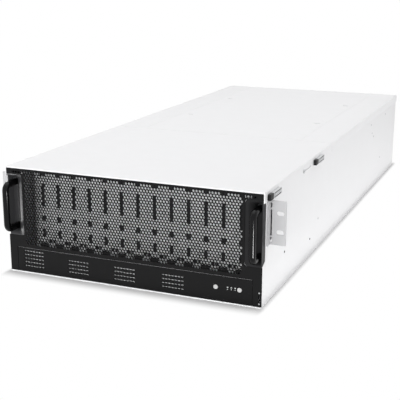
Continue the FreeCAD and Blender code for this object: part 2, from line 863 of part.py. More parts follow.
def fan_rotor(x):
    """Cup-shaped hub with pitched blades, and the shaft that runs in the frame's bearing tube."""
    y0 = fan_front + fan_hub_front
    y1 = y0 + fan_hub_length
    sides = 2 * fan_blade_count
    hub = prism_y(x, fan_z, fan_hub_radius, sides, y0, y1)
    cup = prism_y(x, fan_z, fan_hub_radius - fan_hub_skin, sides, y0 + fan_hub_skin, y1)
    shaft_length = fan_depth - fan_hub_front - fan_base / 2 - fan_end_gap
    shaft = rod((x, y0, fan_z), (0, 1, 0), fan_shaft_radius, shaft_length)
    root = fan_hub_radius - fan_hub_skin
    half = fan_blade_thickness / 2
    blades = []
    for i in range(fan_blade_count):
        blade = block(-half, half, -fan_blade_chord / 2, fan_blade_chord / 2, root, fan_blade_tip)
        blade.rotate(Vector(0, 0, 0), Vector(0, 0, 1), fan_blade_angle)
        blade.rotate(Vector(0, 0, 0), Vector(0, 1, 0), 360.0 * i / fan_blade_count)
        blade.translate(Vector(x, (y0 + y1) / 2, fan_z))
        blades.append(blade)
    return joined([joined([hub, *blades]).cut(cup), shaft])


def motherboard_tray():
    """Shelf between the side walls, above the power supplies, that carries the computer board."""
    return block(-wall_inner, wall_inner, tray_front, rear_inside, tray_low, tray_top)


def motherboard():
    """Computer board on its standoffs."""
    half = board_width / 2
    return block(-half, half, board_rear - board_depth, board_rear, board_low, board_top)


def processor_heat_sink():
    """Finned heat sink, fins in line with the air."""
    x0 = sink_x - sink_width / 2
    y0 = board_rear - sink_y - sink_depth / 2
    y1 = y0 + sink_depth
    gap = (sink_width - sink_fin_count * sink_fin) / (sink_fin_count - 1)
    points = [(x0, board_top), (x0 + sink_width, board_top)]
    for i in reversed(range(sink_fin_count)):
        left = x0 + i * (sink_fin + gap)
        points += [(left + sink_fin, board_top + sink_height), (left, board_top + sink_height)]
        if i:
            points += [(left, board_top + sink_base), (left - gap, board_top + sink_base)]
    face = Part.Face(outline([(x, y0, z) for x, z in points]))
    return face.extrude(Vector(0, y1 - y0, 0))


def memory_modules():
    """Memory modules in sockets on both sides of the heat sink."""
    y0 = board_rear - sink_y - memory_length / 2
    first = sink_width / 2 + memory_gap
    modules = []
    for side in (-1, 1):
        for i in range(memory_count):
            x = sink_x + side * (first + i * memory_pitch)
            modules.append(block(x - memory_thickness / 2, x + memory_thickness / 2, y0, y0 + memory_length,
                                 board_top, board_top + memory_height))
    return group(modules)


def port_frames():
    """Left edge, width and height of each port on the board's rear edge."""
    frames = []
    x = port_first_x
    for width, height in port_sizes:
        frames.append((x, width, height))
        x += width + port_spacing
    return frames


def rear_ports():
    """Shielded sockets on the board's rear edge, flush with the rear panel."""
    ports = []
    for x, width, height in port_frames():
        shell = block(x, x + width, body_depth - port_depth, body_depth, board_top, board_top + height)
        socket = block(x + port_skin, x + width - port_skin, body_depth - port_socket, body_depth + overlap,
                       board_top + port_skin, board_top + height - port_skin)
        ports.append(shell.cut(socket))
    return group(ports)


def expansion_cards():
    """Adapter cards standing on the board, each with its heat sink and the bracket behind the rear panel."""
    solids = []
    for x in card_places:
        low = board_top + card_lift
        rear = rear_inside - bracket_sheet
        front = rear - card_depth
        card = block(x, x + board_thickness, front, rear, low, card_high)
        edge = block(x, x + board_thickness, front + card_edge_front, rear - card_edge_rear, board_top, low)
        sink_low = (low + card_high - card_sink_length) / 2
        sink_front = front + card_sink_front
        sink = block(x + board_thickness, x + board_thickness + card_sink, sink_front,
                     sink_front + card_sink_length, sink_low, sink_low + card_sink_length)
        left = x - card_bracket_side
        bracket = block(left, left + bracket_width, rear, rear_inside, board_top, bracket_high)
        solids += [joined([card, edge]), sink, bracket]
    return group(solids)


def rear_panel():
    """Rear wall with the power supplies' mouth, port and card openings and two fields of air slots."""
    points = [(mouth_right, floor_sheet), (wall_inner, floor_sheet), (wall_inner, wall_top),
              (-wall_inner, wall_top), (-wall_inner, mouth_top), (mouth_right, mouth_top)]
    holes = [rectangle_xz(x - port_gap, x + width + port_gap, board_top - port_gap,
                          board_top + height + port_gap, rear_inside) for x, width, height in port_frames()]
    for x in card_places:
        left = x - card_bracket_side + card_opening_margin
        right = x - card_bracket_side + bracket_width - card_opening_margin
        low = board_top + card_opening_margin
        high = bracket_high - card_opening_margin
        holes.append(rectangle_xz(left, right, low, high, rear_inside))
    for i in range(upper_vent_count):
        x = port_first_x + i * rear_slot_pitch
        holes.append(rectangle_xz(x, x + rear_slot_width, board_top + upper_vent_lift,
                                  wall_top - upper_vent_margin, rear_inside))
    for i in range(lower_vent_count):
        x = mouth_right + lower_vent_gap + i * rear_slot_pitch
        holes.append(rectangle_xz(x, x + rear_slot_width, floor_sheet + lower_vent_lift,
                                  tray_low - lower_vent_margin, rear_inside))
    return plate_xz(outline([(x, rear_inside, z) for x, z in points]), holes, sheet)


def release_slot(left, gap):
    """The release tab's outline at rest, grown by a gap: left, right, lower and upper edge."""
    x = left + supply_width - release_inset
    half = release_height / 2 + gap
    return x - gap, x + release_thickness + gap, supply_mid - half, supply_mid + half


def power_supply(left):
    """Supply case with a pinned mains inlet, a barred fan opening and a slot for the release tab."""
    case = block(left, left + supply_width, supply_front, body_depth, supply_low, supply_low + supply_height)
    middle = left + inlet_x
    inlet = block(middle - inlet_width / 2, middle + inlet_width / 2, body_depth - inlet_depth,
                  body_depth + overlap, supply_mid - inlet_height / 2, supply_mid + inlet_height / 2)
    pin_floor = body_depth - inlet_depth
    pin_middles = ((middle - pin_spread, supply_mid + pin_drop), (middle + pin_spread, supply_mid + pin_drop),
                   (middle, supply_mid + pin_rise))
    pins = [block(x - pin_thickness / 2, x + pin_thickness / 2, pin_floor - overlap, pin_floor + pin_length,
                  z - pin_height / 2, z + pin_height / 2) for x, z in pin_middles]
    half = fan_guard_size / 2
    guard_x = left + fan_guard_x
    guard = block(guard_x - half, guard_x + half, body_depth - fan_guard_depth, body_depth + overlap,
                  supply_mid - half, supply_mid + half)
    bar_pitch = fan_guard_size / (fan_guard_bars + 1)
    bar_half = fan_guard_bar / 2
    bar_reach = half + overlap
    bars = []
    for i in range(fan_guard_bars):
        z = supply_mid - half + (i + 1) * bar_pitch
        bars.append(block(guard_x - bar_reach, guard_x + bar_reach, body_depth - fan_guard_bar, body_depth,
                          z - bar_half, z + bar_half))
    x0, x1, z0, z1 = release_slot(left, release_gap)
    slot = block(x0 - release_travel, x1, body_depth - release_root - release_gap, body_depth + overlap,
                 z0, z1)
    return joined([case.cut([inlet, guard, slot]), *pins, *bars])


def supply_handle(left):
    """Moulded pull handle, a loop that stands out from the supply's rear face."""
    x0 = left + supply_handle_x - supply_handle_width / 2
    z0 = supply_low + supply_handle_margin
    z1 = supply_low + supply_height - supply_handle_margin
    rear = body_depth + supply_handle_reach
    bar = supply_handle_bar
    points = [(body_depth, z0), (rear - bar, z0), (rear, z0 + bar), (rear, z1 - bar), (rear - bar, z1),
              (body_depth, z1), (body_depth, z1 - bar), (rear - bar, z1 - bar), (rear - bar, z0 + bar),
              (body_depth, z0 + bar)]
    return profile_yz(points, x0, x0 + supply_handle_width)


def supply_release(left):
    """Release tab: the thumb pushes it sideways along the slot in the supply's rear face."""
    x0, x1, z0, z1 = release_slot(left, 0)
    end = body_depth + release_reach
    root = block(x0, x1, body_depth - release_root, end, z0, z1)
    pad = block(x0, x1 + release_pad, end - release_pad, end, z0, z1)
    return joined([root, pad])


def all_pieces():
    """Every node's name and its solids."""
    pieces = {
        "chassis_floor": chassis_floor(),
        "left_side_wall": side_wall(-1),
        "right_side_wall": side_wall(1),
        "front_top_rail": front_top_rail(),
        "mid_brace": mid_brace(),
        "rear_panel": rear_panel(),
        "front_lid": front_lid(),
        "rear_lid": rear_lid(),
        "lid_guide_studs": lid_guide_studs(),
        "latch_housings": group([latch_housing(side, y) for side in (-1, 1) for y in latch_places]),
        "front_grille": front_grille(),
        "lower_front_panel": lower_front_panel(),
        "control_board": control_board(),
        "power_button": push_button(power_button_x),
        "id_button": push_button(id_button_x),
        "status_light_pipes": status_light_pipes(),
        "front_handles": group([handle(side) for side in (-1, 1)]),
        "bay_front_wall": bay_front_wall(),
        "bay_rear_wall": bay_rear_wall(),
        "bay_side_walls": bay_side_walls(),
        "bay_dividers": bay_dividers(),
        "drive_backplanes": drive_backplanes(),
        "connector_rails": connector_rails(),
        "board_standoffs": board_standoffs(),
        "front_drives": drives(front_row_starts),
        "rear_drives": drives(rear_row_starts),
        "drive_carriers": drive_carriers(),
        "fan_wall": fan_wall(),
        "motherboard_tray": motherboard_tray(),
        "motherboard": motherboard(),
        "processor_heat_sink": processor_heat_sink(),
        "memory_modules": memory_modules(),
        "rear_ports": rear_ports(),
        "expansion_cards": expansion_cards(),
    }
    for side, word in ((-1, "left"), (1, "right")):
        pieces[f"{word}_handle_pocket"] = handle_pocket(side)
        pieces[f"{word}_rack_ear"] = rack_ear(side)
        for place, end in zip(latch_places, ("front", "back")):
            pieces[f"{end}_{word}_latch_slider"] = latch_slider(side, place)
    for i, x in enumerate(fan_xs, 1):
        pieces[f"fan_frame_{i}"] = fan_frame(x)
        pieces[f"fan_rotor_{i}"] = fan_rotor(x)
    for i, left in enumerate(supply_lefts, 1):
        pieces[f"power_supply_{i}"] = power_supply(left)
        pieces[f"supply_handle_{i}"] = supply_handle(left)
        pieces[f"supply_release_{i}"] = supply_release(left)
    return pieces


os.makedirs("parts", exist_ok=True)
for name, shape in all_pieces().items():
    shape.translate(Vector(0, -depth_shift, 0))
    shape.exportStep(f"parts/{name}.step")
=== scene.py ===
"""Finished looks of a four-unit storage server, modelled round the frame of its construction.

Metres. X runs to the right seen from the front, Y to the rear, Z up from the surface it stands on.
"""
import json
import math

import bpy
from mathutils import Matrix, Vector


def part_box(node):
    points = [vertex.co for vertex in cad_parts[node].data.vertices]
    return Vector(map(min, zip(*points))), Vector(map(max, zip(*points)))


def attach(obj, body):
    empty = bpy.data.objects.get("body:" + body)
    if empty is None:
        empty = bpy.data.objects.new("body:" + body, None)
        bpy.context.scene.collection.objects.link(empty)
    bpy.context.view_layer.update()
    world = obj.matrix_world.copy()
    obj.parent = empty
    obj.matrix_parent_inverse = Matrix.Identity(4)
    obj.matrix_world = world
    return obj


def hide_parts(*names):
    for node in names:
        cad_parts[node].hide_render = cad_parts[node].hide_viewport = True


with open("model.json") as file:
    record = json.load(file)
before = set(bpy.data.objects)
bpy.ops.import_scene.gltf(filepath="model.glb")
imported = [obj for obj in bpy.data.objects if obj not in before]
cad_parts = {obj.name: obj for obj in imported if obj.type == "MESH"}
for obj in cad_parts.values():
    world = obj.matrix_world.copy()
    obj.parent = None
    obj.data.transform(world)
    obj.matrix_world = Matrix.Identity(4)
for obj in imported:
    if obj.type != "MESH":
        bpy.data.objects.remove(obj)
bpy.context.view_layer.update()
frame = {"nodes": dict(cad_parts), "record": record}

bl_info = {
    "name": "Storage Server Looks",
    "version": (1, 0, 0),
    "blender": (4, 5, 0),
    "location": "3D View > Sidebar > Server",
    "description": "Models the finished pieces of a four-unit storage server",
    "category": "Object",
}

MM = 0.001
TOUCH = 0.01 * MM  # places nearer than this are taken as one
RELIEF = 0.1 * MM  # height of a finish's grain
HEAD_EDGE = 0.6 * MM  # rounding of heads and hubs
MOULDED_EDGE = 0.4 * MM  # rounding of pins and tongues
INSERT_EDGE = 0.3 * MM  # rounding of sockets' inserts and inlets
BRACKET_EDGE = 0.2 * MM  # rounding of card brackets
BOARD_EDGE = 0.15 * MM  # rounding of circuit boards
CORNER_STEPS = 5  # steps of a pocket's rounded corner
X, Y, Z = range(3)
SIDES = {"left": -1, "right": 1}
ENDS = ("front", "back")
BUTTONS = ("power_button", "id_button")
# Width and height of each rear port in millimetres, from the middle of the body to the right
PORT_SIZES = ((16.0, 13.5), (16.0, 13.5), (14.5, 16.0), (14.5, 16.0), (31.0, 12.0))
# Share of a side wall's depth, height setting and drop below it in millimetres, of each fixing in the wall
WALL_FIXINGS = ((0.105, "wall_middle", 0), (0.25, "wall_low", 0), (0.3, "wall_middle", 0), (0.72, "wall_high", 0),
                (0.732, "wall_high", 20), (0.75, "wall_high", 30), (0.833, "wall_middle", 0), (0.875, "wall_high", 0))
WALL_SCREWS = 2  # the first of them are dark screws, the others pale rivets
# Heights of the rear panel's screws, and places of the rear lid's screws across, in millimetres
PANEL_SCREWS = (55, 100, 145)
LOW_PANEL_SCREW = 20
LID_SCREWS = (-190, -95, 0, 95, 190)
# Places of the rear lid's hook slots, as shares of its length
HOOK_SHARES = (0.287, 0.664)
# Each lamp's place and the point it is aimed at, its width and height in metres, and what it acts on
LAMPS = (
    dict(name="top", position=(0.0, 0.1, 2.6), target=(0, 0, 0), width=3.0, height=3.0),
    dict(name="front", position=(-0.1, -3.4, 0.7), target=(0, -0.5, 0.1), width=2.4, height=1.3, gloss=False),
    dict(name="left", position=(-2.3, -1.5, 0.8), target=(-0.2, -0.5, 0.1), width=1.5, height=1.4, gloss=False),
    dict(name="strip", position=(0.42, -0.8, 0.004), target=(0.4194, -0.7992, 1), width=0.06, height=0.32,
         matte=False, only_on="handles"),
    dict(name="card", position=(-0.5, -0.65, 0.004), target=(-0.5, -0.649, 1), width=0.25, height=0.45,
         matte=False, only_on="left_pocket"),
    dict(name="pocket", position=(-0.4, -0.82, 0.004), target=(-0.4, -0.819, 1), width=0.25, height=0.35,
         matte=False, only_on="left_pocket"),
    dict(name="recess", position=(0.9, -1.7, 0.45), target=(-0.21, -0.52, 0.1), width=0.5, height=0.5,
         gloss=False, only_on="left_pocket"),
    dict(name="side", position=(0.325, -0.03, 0.004), target=(0.325, -0.029, 1), width=0.2, height=1.2, gloss=False),
    dict(name="right", position=(2.7, 0.0, 0.6), target=(0.2, 0.1, 0.1), width=1.6, height=1.2, gloss=False),
)
# Painted, moulded and milled finishes: fineness and depth of the grain, spread of the colour, range of roughness
COATS = {
    "white_paint": dict(grain=1400, spread=0.015, rough=(0.42, 0.56), bump=0.12, specular=0.4),
    "black_paint": dict(grain=1600, spread=0.12, rough=(0.42, 0.55), bump=0.25, specular=0.15),
    "black_bar": dict(grain=900, spread=0.1, rough=(0.12, 0.18), bump=0.04, specular=0.18),
    "black_plastic": dict(grain=1200, spread=0.12, rough=(0.26, 0.36), bump=0.15, specular=0.1),
    "button_white": dict(grain=900, spread=0.02, rough=(0.28, 0.38), bump=0.05, specular=0.5),
    "connector_plastic": dict(grain=1000, spread=0.1, rough=(0.5, 0.65), bump=0.2, specular=0.4),
    "carrier_plastic": dict(grain=1000, spread=0.08, rough=(0.45, 0.6), bump=0.25, specular=0.4),
    "fan_plastic": dict(grain=800, spread=0.12, rough=(0.48, 0.64), bump=0.25, specular=0.4),
    "release_plastic": dict(grain=1000, spread=0.06, rough=(0.38, 0.5), bump=0.15, specular=0.45),
    "clear_plastic": dict(grain=700, spread=0.03, rough=(0.12, 0.2), bump=0.03, specular=0.5, clear=0.25),
    "ear_steel": dict(grain=1400, spread=0.02, rough=(0.44, 0.58), bump=0.12, specular=0.35),
    "drive_metal": dict(grain=600, spread=0.1, rough=(0.5, 0.66), bump=0.2, specular=0.15),
    "heat_sink_metal": dict(grain=600, spread=0.07, rough=(0.36, 0.52), bump=0.2, specular=0.5, metallic=0.85),
    "port_metal": dict(grain=500, spread=0.05, rough=(0.24, 0.38), bump=0.1, specular=0.5, metallic=0.95,
                       stretch=(1, 0.15, 1)),
}


# Sizes and colours

def size(name, description, millimetres):
    """A length, written in millimetres and kept in metres."""
    return bpy.props.FloatProperty(name=name, description=description, default=millimetres * MM,
                                   unit="LENGTH", precision=5)


def colour(name, description, red, green, blue):
    """A linear colour."""
    return bpy.props.FloatVectorProperty(name=name, description=description, default=(red, green, blue),
                                         subtype="COLOR", size=3, min=0, max=1)


def amount(name, description, default):
    """A plain number."""
    return bpy.props.FloatProperty(name=name, description=description, default=default, precision=4)


def whole_number(name, description, default, least=1):
    """A count."""
    return bpy.props.IntProperty(name=name, description=description, default=default, min=least)


def watts(name, description, default):
    """The power of a lamp."""
    return bpy.props.FloatProperty(name=name, description=description, default=default, unit="POWER", precision=4)


def angle(name, description, degrees):
    """An angle, written in degrees and kept in radians."""
    return bpy.props.FloatProperty(name=name, description=description, default=math.radians(degrees),
                                   subtype="ANGLE", precision=5)


def place(name, description, x, y, z):
    """A point in metres."""
    return bpy.props.FloatVectorProperty(name=name, description=description, default=(x, y, z),
                                         subtype="TRANSLATION", unit="LENGTH", size=3, precision=4)


class ServerFrontSizes(bpy.types.PropertyGroup):
    """Perforated panel, lower panel, buttons and lights."""
    sheet: size("Panel sheet", "Thickness of both front panels", 1.2)
    seam: size("Panel seam", "Gap between the two front panels", 0.4)
    hole_pitch: size("Hole pitch", "Distance between the honeycomb's holes along a row", 5.0)
    hole_web: size("Hole web", "Metal left between two holes", 1.35)
    field_margin: size("Field margin", "Plain edge between the holes and the handle pockets", 2.5)
    field_drop: size("Field drop", "From the panel's top edge to the middle of the top row of holes", 5.2)
    field_rise: size("Field rise", "From the lower panel's top edge to the lowest hole", 5.0)
    wide_margin: size("Wide row margin", "Plain edge at the ends of the top row, which runs over the pockets", 10.0)
    notch_round: size("Notch radius", "Rounding of the pocket notches' corners", 5.0)
    leg_inset: size("Leg slit inset", "From the panel's right end to the middle of the slit in its leg", 3.6)
    leg_slit: size("Leg slit width", "Width of the slit in the right leg", 2.4)
    leg_low: size("Leg slit foot", "Height of the slit's lower end", 9.0)
    leg_high: size("Leg slit top", "Height of the slit's upper end", 20.0)
    leg_screw: size("Leg screw radius", "Radius of the two small screws above and below the slit", 1.3)
    post: size("Post", "Width of the posts that hold the control board", 4.0)
    # Painted highlight: a pale strip in the seam that stands in for the light caught on the lower panel's rounded top
    # edge
    trim: size("Trim", "How far the pale trim shows above the lower panel", 0.08)
    edge: size("Edge radius", "Rounding of the lower panel's edges", 0.7)
    vent_inset: size("Vent inset", "From the lower panel's left end to the middle of the first vent", 29.8)
    vent_pitch: size("Vent pitch", "Distance between vents", 81.6)
    vent_low: size("Vent height", "Height of each vent's lowest row", 11.6)
    row_pitch: size("Vent row pitch", "Distance between a vent's rows", 6.3)
    dash: size("Vent dash", "Length of one short slot", 4.5)
    dash_pitch: size("Vent dash pitch", "Distance between short slots along a row", 5.3)
    dash_height: size("Vent dash height", "Height of one short slot", 2.0)
    dash_count: whole_number("Dashes", "Short slots in a row", 7)
    screen_gap: size("Screen gap", "From the lower panel's back to the dust screens", 2.4)
    vent_rows: bpy.props.IntVectorProperty(name="Vent rows", description="Rows in each vent, from the left",
                                           default=(5, 4, 4, 4), size=4, min=1)
    button: size("Button radius", "Radius of a button's cap", 3.5)
    button_flange: size("Button flange", "Thickness of a button's flange", 1.0)
    button_stem: size("Button stem", "Width of a button's stem", 3.0)
    button_gap: size("Button gap", "Gap round a button's cap", 0.3)
    light: size("Light radius", "Radius of the upper row of status lights", 1.25)
    light_mark: size("Lower light radius", "Radius of the lower row of status lights", 0.8)
    light_gap: size("Light gap", "Gap round a status light", 0.1)
    column_pitch: size("Column pitch", "Distance between the bay wall's columns of slots", 28.5)
    tab_count: whole_number("Tabs", "Tabs pressed out between the columns", 12)
    tab: size("Tab width", "Width of a tab", 12.0)
    tab_low: size("Tab foot", "Height of a tab's lower edge", 36.6)
    tab_high: size("Tab top", "Height of a tab's upper edge", 43.6)
    tab_reach: size("Tab reach", "How far a tab stands out from the wall", 4.5)


class ServerHandleSizes(bpy.types.PropertyGroup):
    """Handles and the pockets behind them."""
    bar: size("Bar radius", "Radius of the handle's bar", 5.25)
    inset: size("Handle inset", "From the side wall's outer face to the middle of the bar", 9.25)
    bend: size("Bend radius", "Radius of the handle's bends, at the middle of the bar", 9.0)
    skin: size("Pocket wall", "Thickness of the pocket's moulded wall", 2.0)
    outer_skin: size("Pocket outer wall", "Thickness of the pocket's outer wall", 1.0)
    roll: size("Pocket roll", "How far the pocket's inner edge rolls in to the floor", 14.0)
    ramp: size("Pocket ramp", "How far the pocket's upper and lower edges roll in to the floor", 7.5)
    rounding: size("Pocket radius", "Rounding of the pocket's inner corners", 6.0)
    rings: whole_number("Pocket rings", "Steps of the pocket's rolled edge", 8, least=3)


class ServerSheetSizes(bpy.types.PropertyGroup):
    """Lids, walls and rack ears."""
    sheet: size("Sheet", "Thickness of the lids", 1.2)
    bend: size("Bend radius", "Outer radius where the lids turn down", 1.6)
    hem: size("Hem", "Depth of the front lid's folded front edge", 6.0)
    broken_edge: size("Broken edge", "Rounding of cut sheet edges", 0.3)
    guide_slot: size("Guide slot", "Height of the slot that runs along a guide stud", 4.6)
    guide_travel: size("Guide travel", "How far the front lid slides", 45.0)
    bead: size("Bead", "Width of the rear lid's pressed beads", 3.0)
    bead_depth: size("Bead depth", "Depth of the rear lid's pressed beads", 0.3)
    bead_inset: size("Bead inset", "From the lid's side to the middle of a bead", 59.5)
    bead_margin: size("Bead margin", "From the lid's ends to the ends of a bead", 14.0)
    lip: size("Lip", "How far the rear lid reaches under the front lid", 10.0)
    lip_inset: size("Lip inset", "From the brace's end to the lip's end", 11.0)
    hook_inset: size("Hook slot inset", "From the lid's side to the middle of a hook slot", 78.0)
    hook_length: size("Hook slot length", "Length of a hook slot across the lid", 12.0)
    hook_width: size("Hook slot width", "Width of a hook slot", 4.0)
    # Painted shade: black sheets that darken the shaded gap inside the side walls, behind the panel's edge holes
    lining: size("Lining", "Thickness of the black sheets on the insides of the side walls", 0.5)
    ear_sheet: size("Ear sheet", "Thickness of the rack ears", 2.0)
    ear_slot: size("Ear slot length", "Length of a rack screw's slot", 11.5)
    ear_slot_height: size("Ear slot height", "Height of a rack screw's slot", 7.0)
    ear_slot_inset: size("Ear slot inset", "From the ear's outer edge to the middle of a slot", 8.75)
    ear_slot_pitch: size("Ear slot pitch", "Distance between an ear's two slots", 28.575)
    ear_slit: size("Ear slit", "Width of the slits along the ear's bend", 2.6)
    ear_slit_end: size("Ear slit end", "Sheet left beyond the slits' ends", 3.5)
    ear_bridge: size("Ear bridge", "Height of the bridges between the slits", 2.5)
    ear_bridge_pitch: size("Ear bridge pitch", "Distance between the bridges", 42.0)


class ServerFixingSizes(bpy.types.PropertyGroup):
    """Latches, studs and screws."""
    latch_head: size("Latch head", "Length of a latch slider's head", 14.0)
    latch_skin: size("Latch skin", "Sheet thickness of a latch housing", 0.8)
    latch_gap: size("Latch gap", "Gap between a slider and its housing", 0.3)
    tongue_margin: size("Tongue margin", "From the housing's ends to the slit round its tongue", 2.5)
    tongue_rim: size("Tongue rim", "Sheet left above and below the slit", 0.8)
    tongue_slit: size("Tongue slit", "Width of the slit round the tongue", 1.5)
    tongue_groove: size("Tongue groove", "Width of a groove between grip ribs", 1.4)
    tongue_grooves: whole_number("Tongue grooves", "Grooves across the tongue", 5)
    screw: size("Screw radius", "Radius of a body screw's head", 3.0)
    small_screw: size("Small screw radius", "Radius of a small screw's head", 1.9)
    screw_height: size("Screw height", "How far a screw's head stands out", 1.1)
    panel_inset: size("Panel screw inset", "From the rear panel's side to its screws", 7.0)
    stud_head: size("Stud head", "Thickness of a guide stud's head", 1.6)
    stud: size("Stud radius", "Radius of a guide stud's head", 3.4)
    flat_height: size("Flat screw height", "How far a side wall's flat screws stand out", 0.4)
    wall_low: size("Low wall screws", "Height of the lowest screws in the side walls", 31.0)
    wall_middle: size("Middle wall screws", "Height of the middle screws in the side walls", 54.0)
    wall_high: size("High wall screws", "Height of the highest screws in the side walls", 148.0)


class ServerRearSizes(bpy.types.PropertyGroup):
    """Power supplies, card brackets and ports."""
    case_edge: size("Case edge", "Rounding of a supply's edges", 0.5)
    inlet_inset: size("Inlet inset", "From the supply's side to the middle of its mains inlet", 23.5)
    inlet_width: size("Inlet width", "Width of the mains inlet", 24.0)
    inlet_height: size("Inlet height", "Height of the mains inlet", 17.0)
    inlet_depth: size("Inlet depth", "Depth of the mains inlet", 17.0)
    inlet_wall: size("Inlet wall", "Thickness of the moulded wall round the inlet", 1.4)
    inlet_round: size("Inlet rounding", "Rounding of the inlet's corners", 2.0)
    pin_thickness: size("Pin thickness", "Thickness of an inlet's pin", 2.0)
    pin_height: size("Pin height", "Height of an inlet's pin", 4.0)
    pin_length: size("Pin length", "Length of an inlet's pin", 14.0)
    pin_spread: size("Pin spread", "From the inlet's middle to its outer pins", 7.0)
    pin_rise: size("Pin rise", "From the inlet's middle to its upper pin", 4.0)
    pin_drop: size("Pin drop", "From the inlet's middle to its outer pins, upwards", 0.5)
    guard_inset: size("Guard inset", "From the supply's side to the middle of its fan guard", 16.0)
    guard: size("Guard", "Width of the fan opening", 26.0)
    guard_depth: size("Guard depth", "Depth of the fan opening", 18.0)
    guard_round: size("Guard rounding", "Rounding of the fan opening's corners", 3.0)
    guard_wire: size("Guard wire", "Thickness of the guard's wires", 1.6)
    guard_wires: whole_number("Guard wires", "Wires across the fan opening", 4)
    fan_hub: size("Fan hub", "Radius of the fan's hub", 4.8)
    hub_inset: size("Hub inset", "From the rear to the fan's hub", 4.0)
    blade: size("Blade", "Thickness of a fan blade", 0.8)
    blade_width: size("Blade width", "Width of a fan blade", 6.0)
    blade_tilt: angle("Blade tilt", "How far a fan blade is turned out of the fan's axis", 55.0)
    blade_inset: size("Blade inset", "From the rear to the middle of the blades", 8.0)
    fan_blades: whole_number("Fan blades", "Blades of a supply's fan", 7, least=2)
    release: size("Release", "Thickness of a release tab", 2.4)
    release_travel: size("Release travel", "How far a release tab moves", 4.0)
    release_gap: size("Release gap", "Gap round a release tab", 0.2)
    bracket: size("Bracket", "Width of a card's bracket", 18.4)
    bracket_sheet: size("Bracket sheet", "Thickness of a card's bracket", 0.9)
    socket_side: size("Socket side", "From the bracket's edge to its sockets", 5.0)
    socket_width: size("Socket width", "Width of a card's socket", 10.4)
    socket_height: size("Socket height", "Height of a card's socket", 13.5)
    socket_depth: size("Socket depth", "Depth of a card's socket", 15.0)
    socket_wall: size("Socket wall", "Thickness of a socket's shield", 0.5)
    socket_first: size("First socket", "From the bracket's lower end to its first socket", 12.0)
    socket_pitch: size("Socket pitch", "Distance between a card's sockets", 18.0)
    insert: amount("Insert", "Share of a socket's width up to which its insert reaches", 0.42)
    insert_gap: size("Insert gap", "Gap between a socket's wall and its insert", 1.0)
    insert_inset: size("Insert inset", "From the rear to the end of a socket's insert", 4.0)
    air_slot: size("Air slot", "Height of a bracket's air slots", 2.0)
    air_pitch: size("Air slot pitch", "Distance between a bracket's air slots", 4.4)
    air_slots: whole_number("Air slots", "Air slots in a bracket", 10)
    port_depth: size("Port depth", "From the rear to the floor of a port", 14.0)
    port_gap: size("Port gap", "From a port's side to its tongue", 2.6)
    port_tongue: amount("Port tongue", "Share of a port's height that its tongue takes", 0.24)
    tongue_inset: size("Tongue inset", "From the rear to the end of a port's tongue", 2.0)
    port_first: size("First port", "From the body's middle to the first port", 12.0)
    port_spacing: size("Port spacing", "Distance between two ports", 9.0)


class ServerColours(bpy.types.PropertyGroup):
    """Finishes of the pieces."""
    white_paint: colour("White paint", "Powder coat of the body", 0.86, 0.86, 0.87)
    black_paint: colour("Black paint", "Powder coat of the front panels", 0.0065, 0.0065, 0.0068)
    black_bar: colour("Black bar", "Satin coat of the handles", 0.003, 0.003, 0.0034)
    black_plastic: colour("Black plastic", "Moulded pockets, latch sliders and supply handles", 0.02, 0.02, 0.021)
    zinc_steel: colour("Zinc", "Plated sheet of the inner walls and latch housings", 0.9, 0.91, 0.92)
    ear_steel: colour("Ear grey", "Powder coat of the rack ears", 0.53, 0.53, 0.54)
    button_white: colour("Button white", "Moulded button caps", 0.55, 0.55, 0.545)
    clear_plastic: colour("Lens", "Status lights", 0.72, 0.75, 0.74)
    circuit_board: colour("Circuit board", "Solder mask of the boards", 0.015, 0.1, 0.05)
    connector_plastic: colour("Connector plastic", "Sockets and switches", 0.03, 0.03, 0.032)
    drive_metal: colour("Drive metal", "Coated cases of the drives", 0.035, 0.035, 0.038)
    heat_sink_metal: colour("Heat sink metal", "Milled fins of the processor's heat sink", 0.58, 0.59, 0.6)
    carrier_plastic: colour("Carrier plastic", "Drive carriers", 0.08, 0.08, 0.085)
    fan_plastic: colour("Fan plastic", "Fan frames and rotors", 0.022, 0.022, 0.023)
    port_metal: colour("Port metal", "Socket shields, brackets and screws", 0.62, 0.63, 0.64)
    release_plastic: colour("Release plastic", "Tabs that free the power supplies", 0.5, 0.12, 0.03)


class ServerStage(bpy.types.PropertyGroup):
    """Camera, floor and lamps."""
    camera: place("Camera", "Where the camera stands", 0.5843, -1.6470, 0.4864)
    azimuth: angle("Azimuth", "How far the camera is turned to the side", 22.3761)
    elevation: angle("Elevation", "How far the camera looks down", 15.1779)
    roll: angle("Roll", "How far the camera leans", 0.1714)
    lens: bpy.props.FloatProperty(name="Lens", description="Focal length", default=78.48, unit="CAMERA")
    floor: size("Floor", "Width of the floor", 9000.0)
    # Near the object the floor shows this grey under its real shadow: a painted shade band round the footprint, as
    # wide as the fade and narrower at the sides by the squeeze
    floor_colour: colour("Floor colour", "Pale floor", 0.74, 0.74, 0.74)
    fade: size("Fade", "Distance from the object at which the floor is as white as the background", 34.0)
    squeeze: amount("Squeeze", "How many times sooner the floor turns white at the object's sides", 4.0)
    ambient: amount("Ambient light", "Strength of the soft light from all round", 0.42)
    top_power: watts("Top lamp", "Power of the lamp overhead", 36.0)
    front_power: watts("Front lamp", "Power of the lamp at the front", 62.0)
    left_power: watts("Left lamp", "Power of the lamp at the left", 15.0)
    right_power: watts("Right lamp", "Power of the lamp at the right", 14.0)
    side_power: watts("Side lamp", "Power of the low lamp beside the right wall", 0.4)
    strip_power: watts("Strip lamp", "Power of the narrow lamp that draws lines on the handles", 4.0)
    card_power: watts("Card lamp", "Power of the low lamp that shines on the left pocket's rolled edge", 6.0)
    pocket_power: watts("Pocket lamp", "Power of the low lamp that shines on the left pocket's floor", 5.0)
    recess_power: watts("Recess lamp", "Power of the lamp that reaches into the left pocket", 47.0)


# Modelling tools

def leave_edit():
    """Leave edit mode."""
    bpy.ops.object.mode_set(mode="OBJECT")


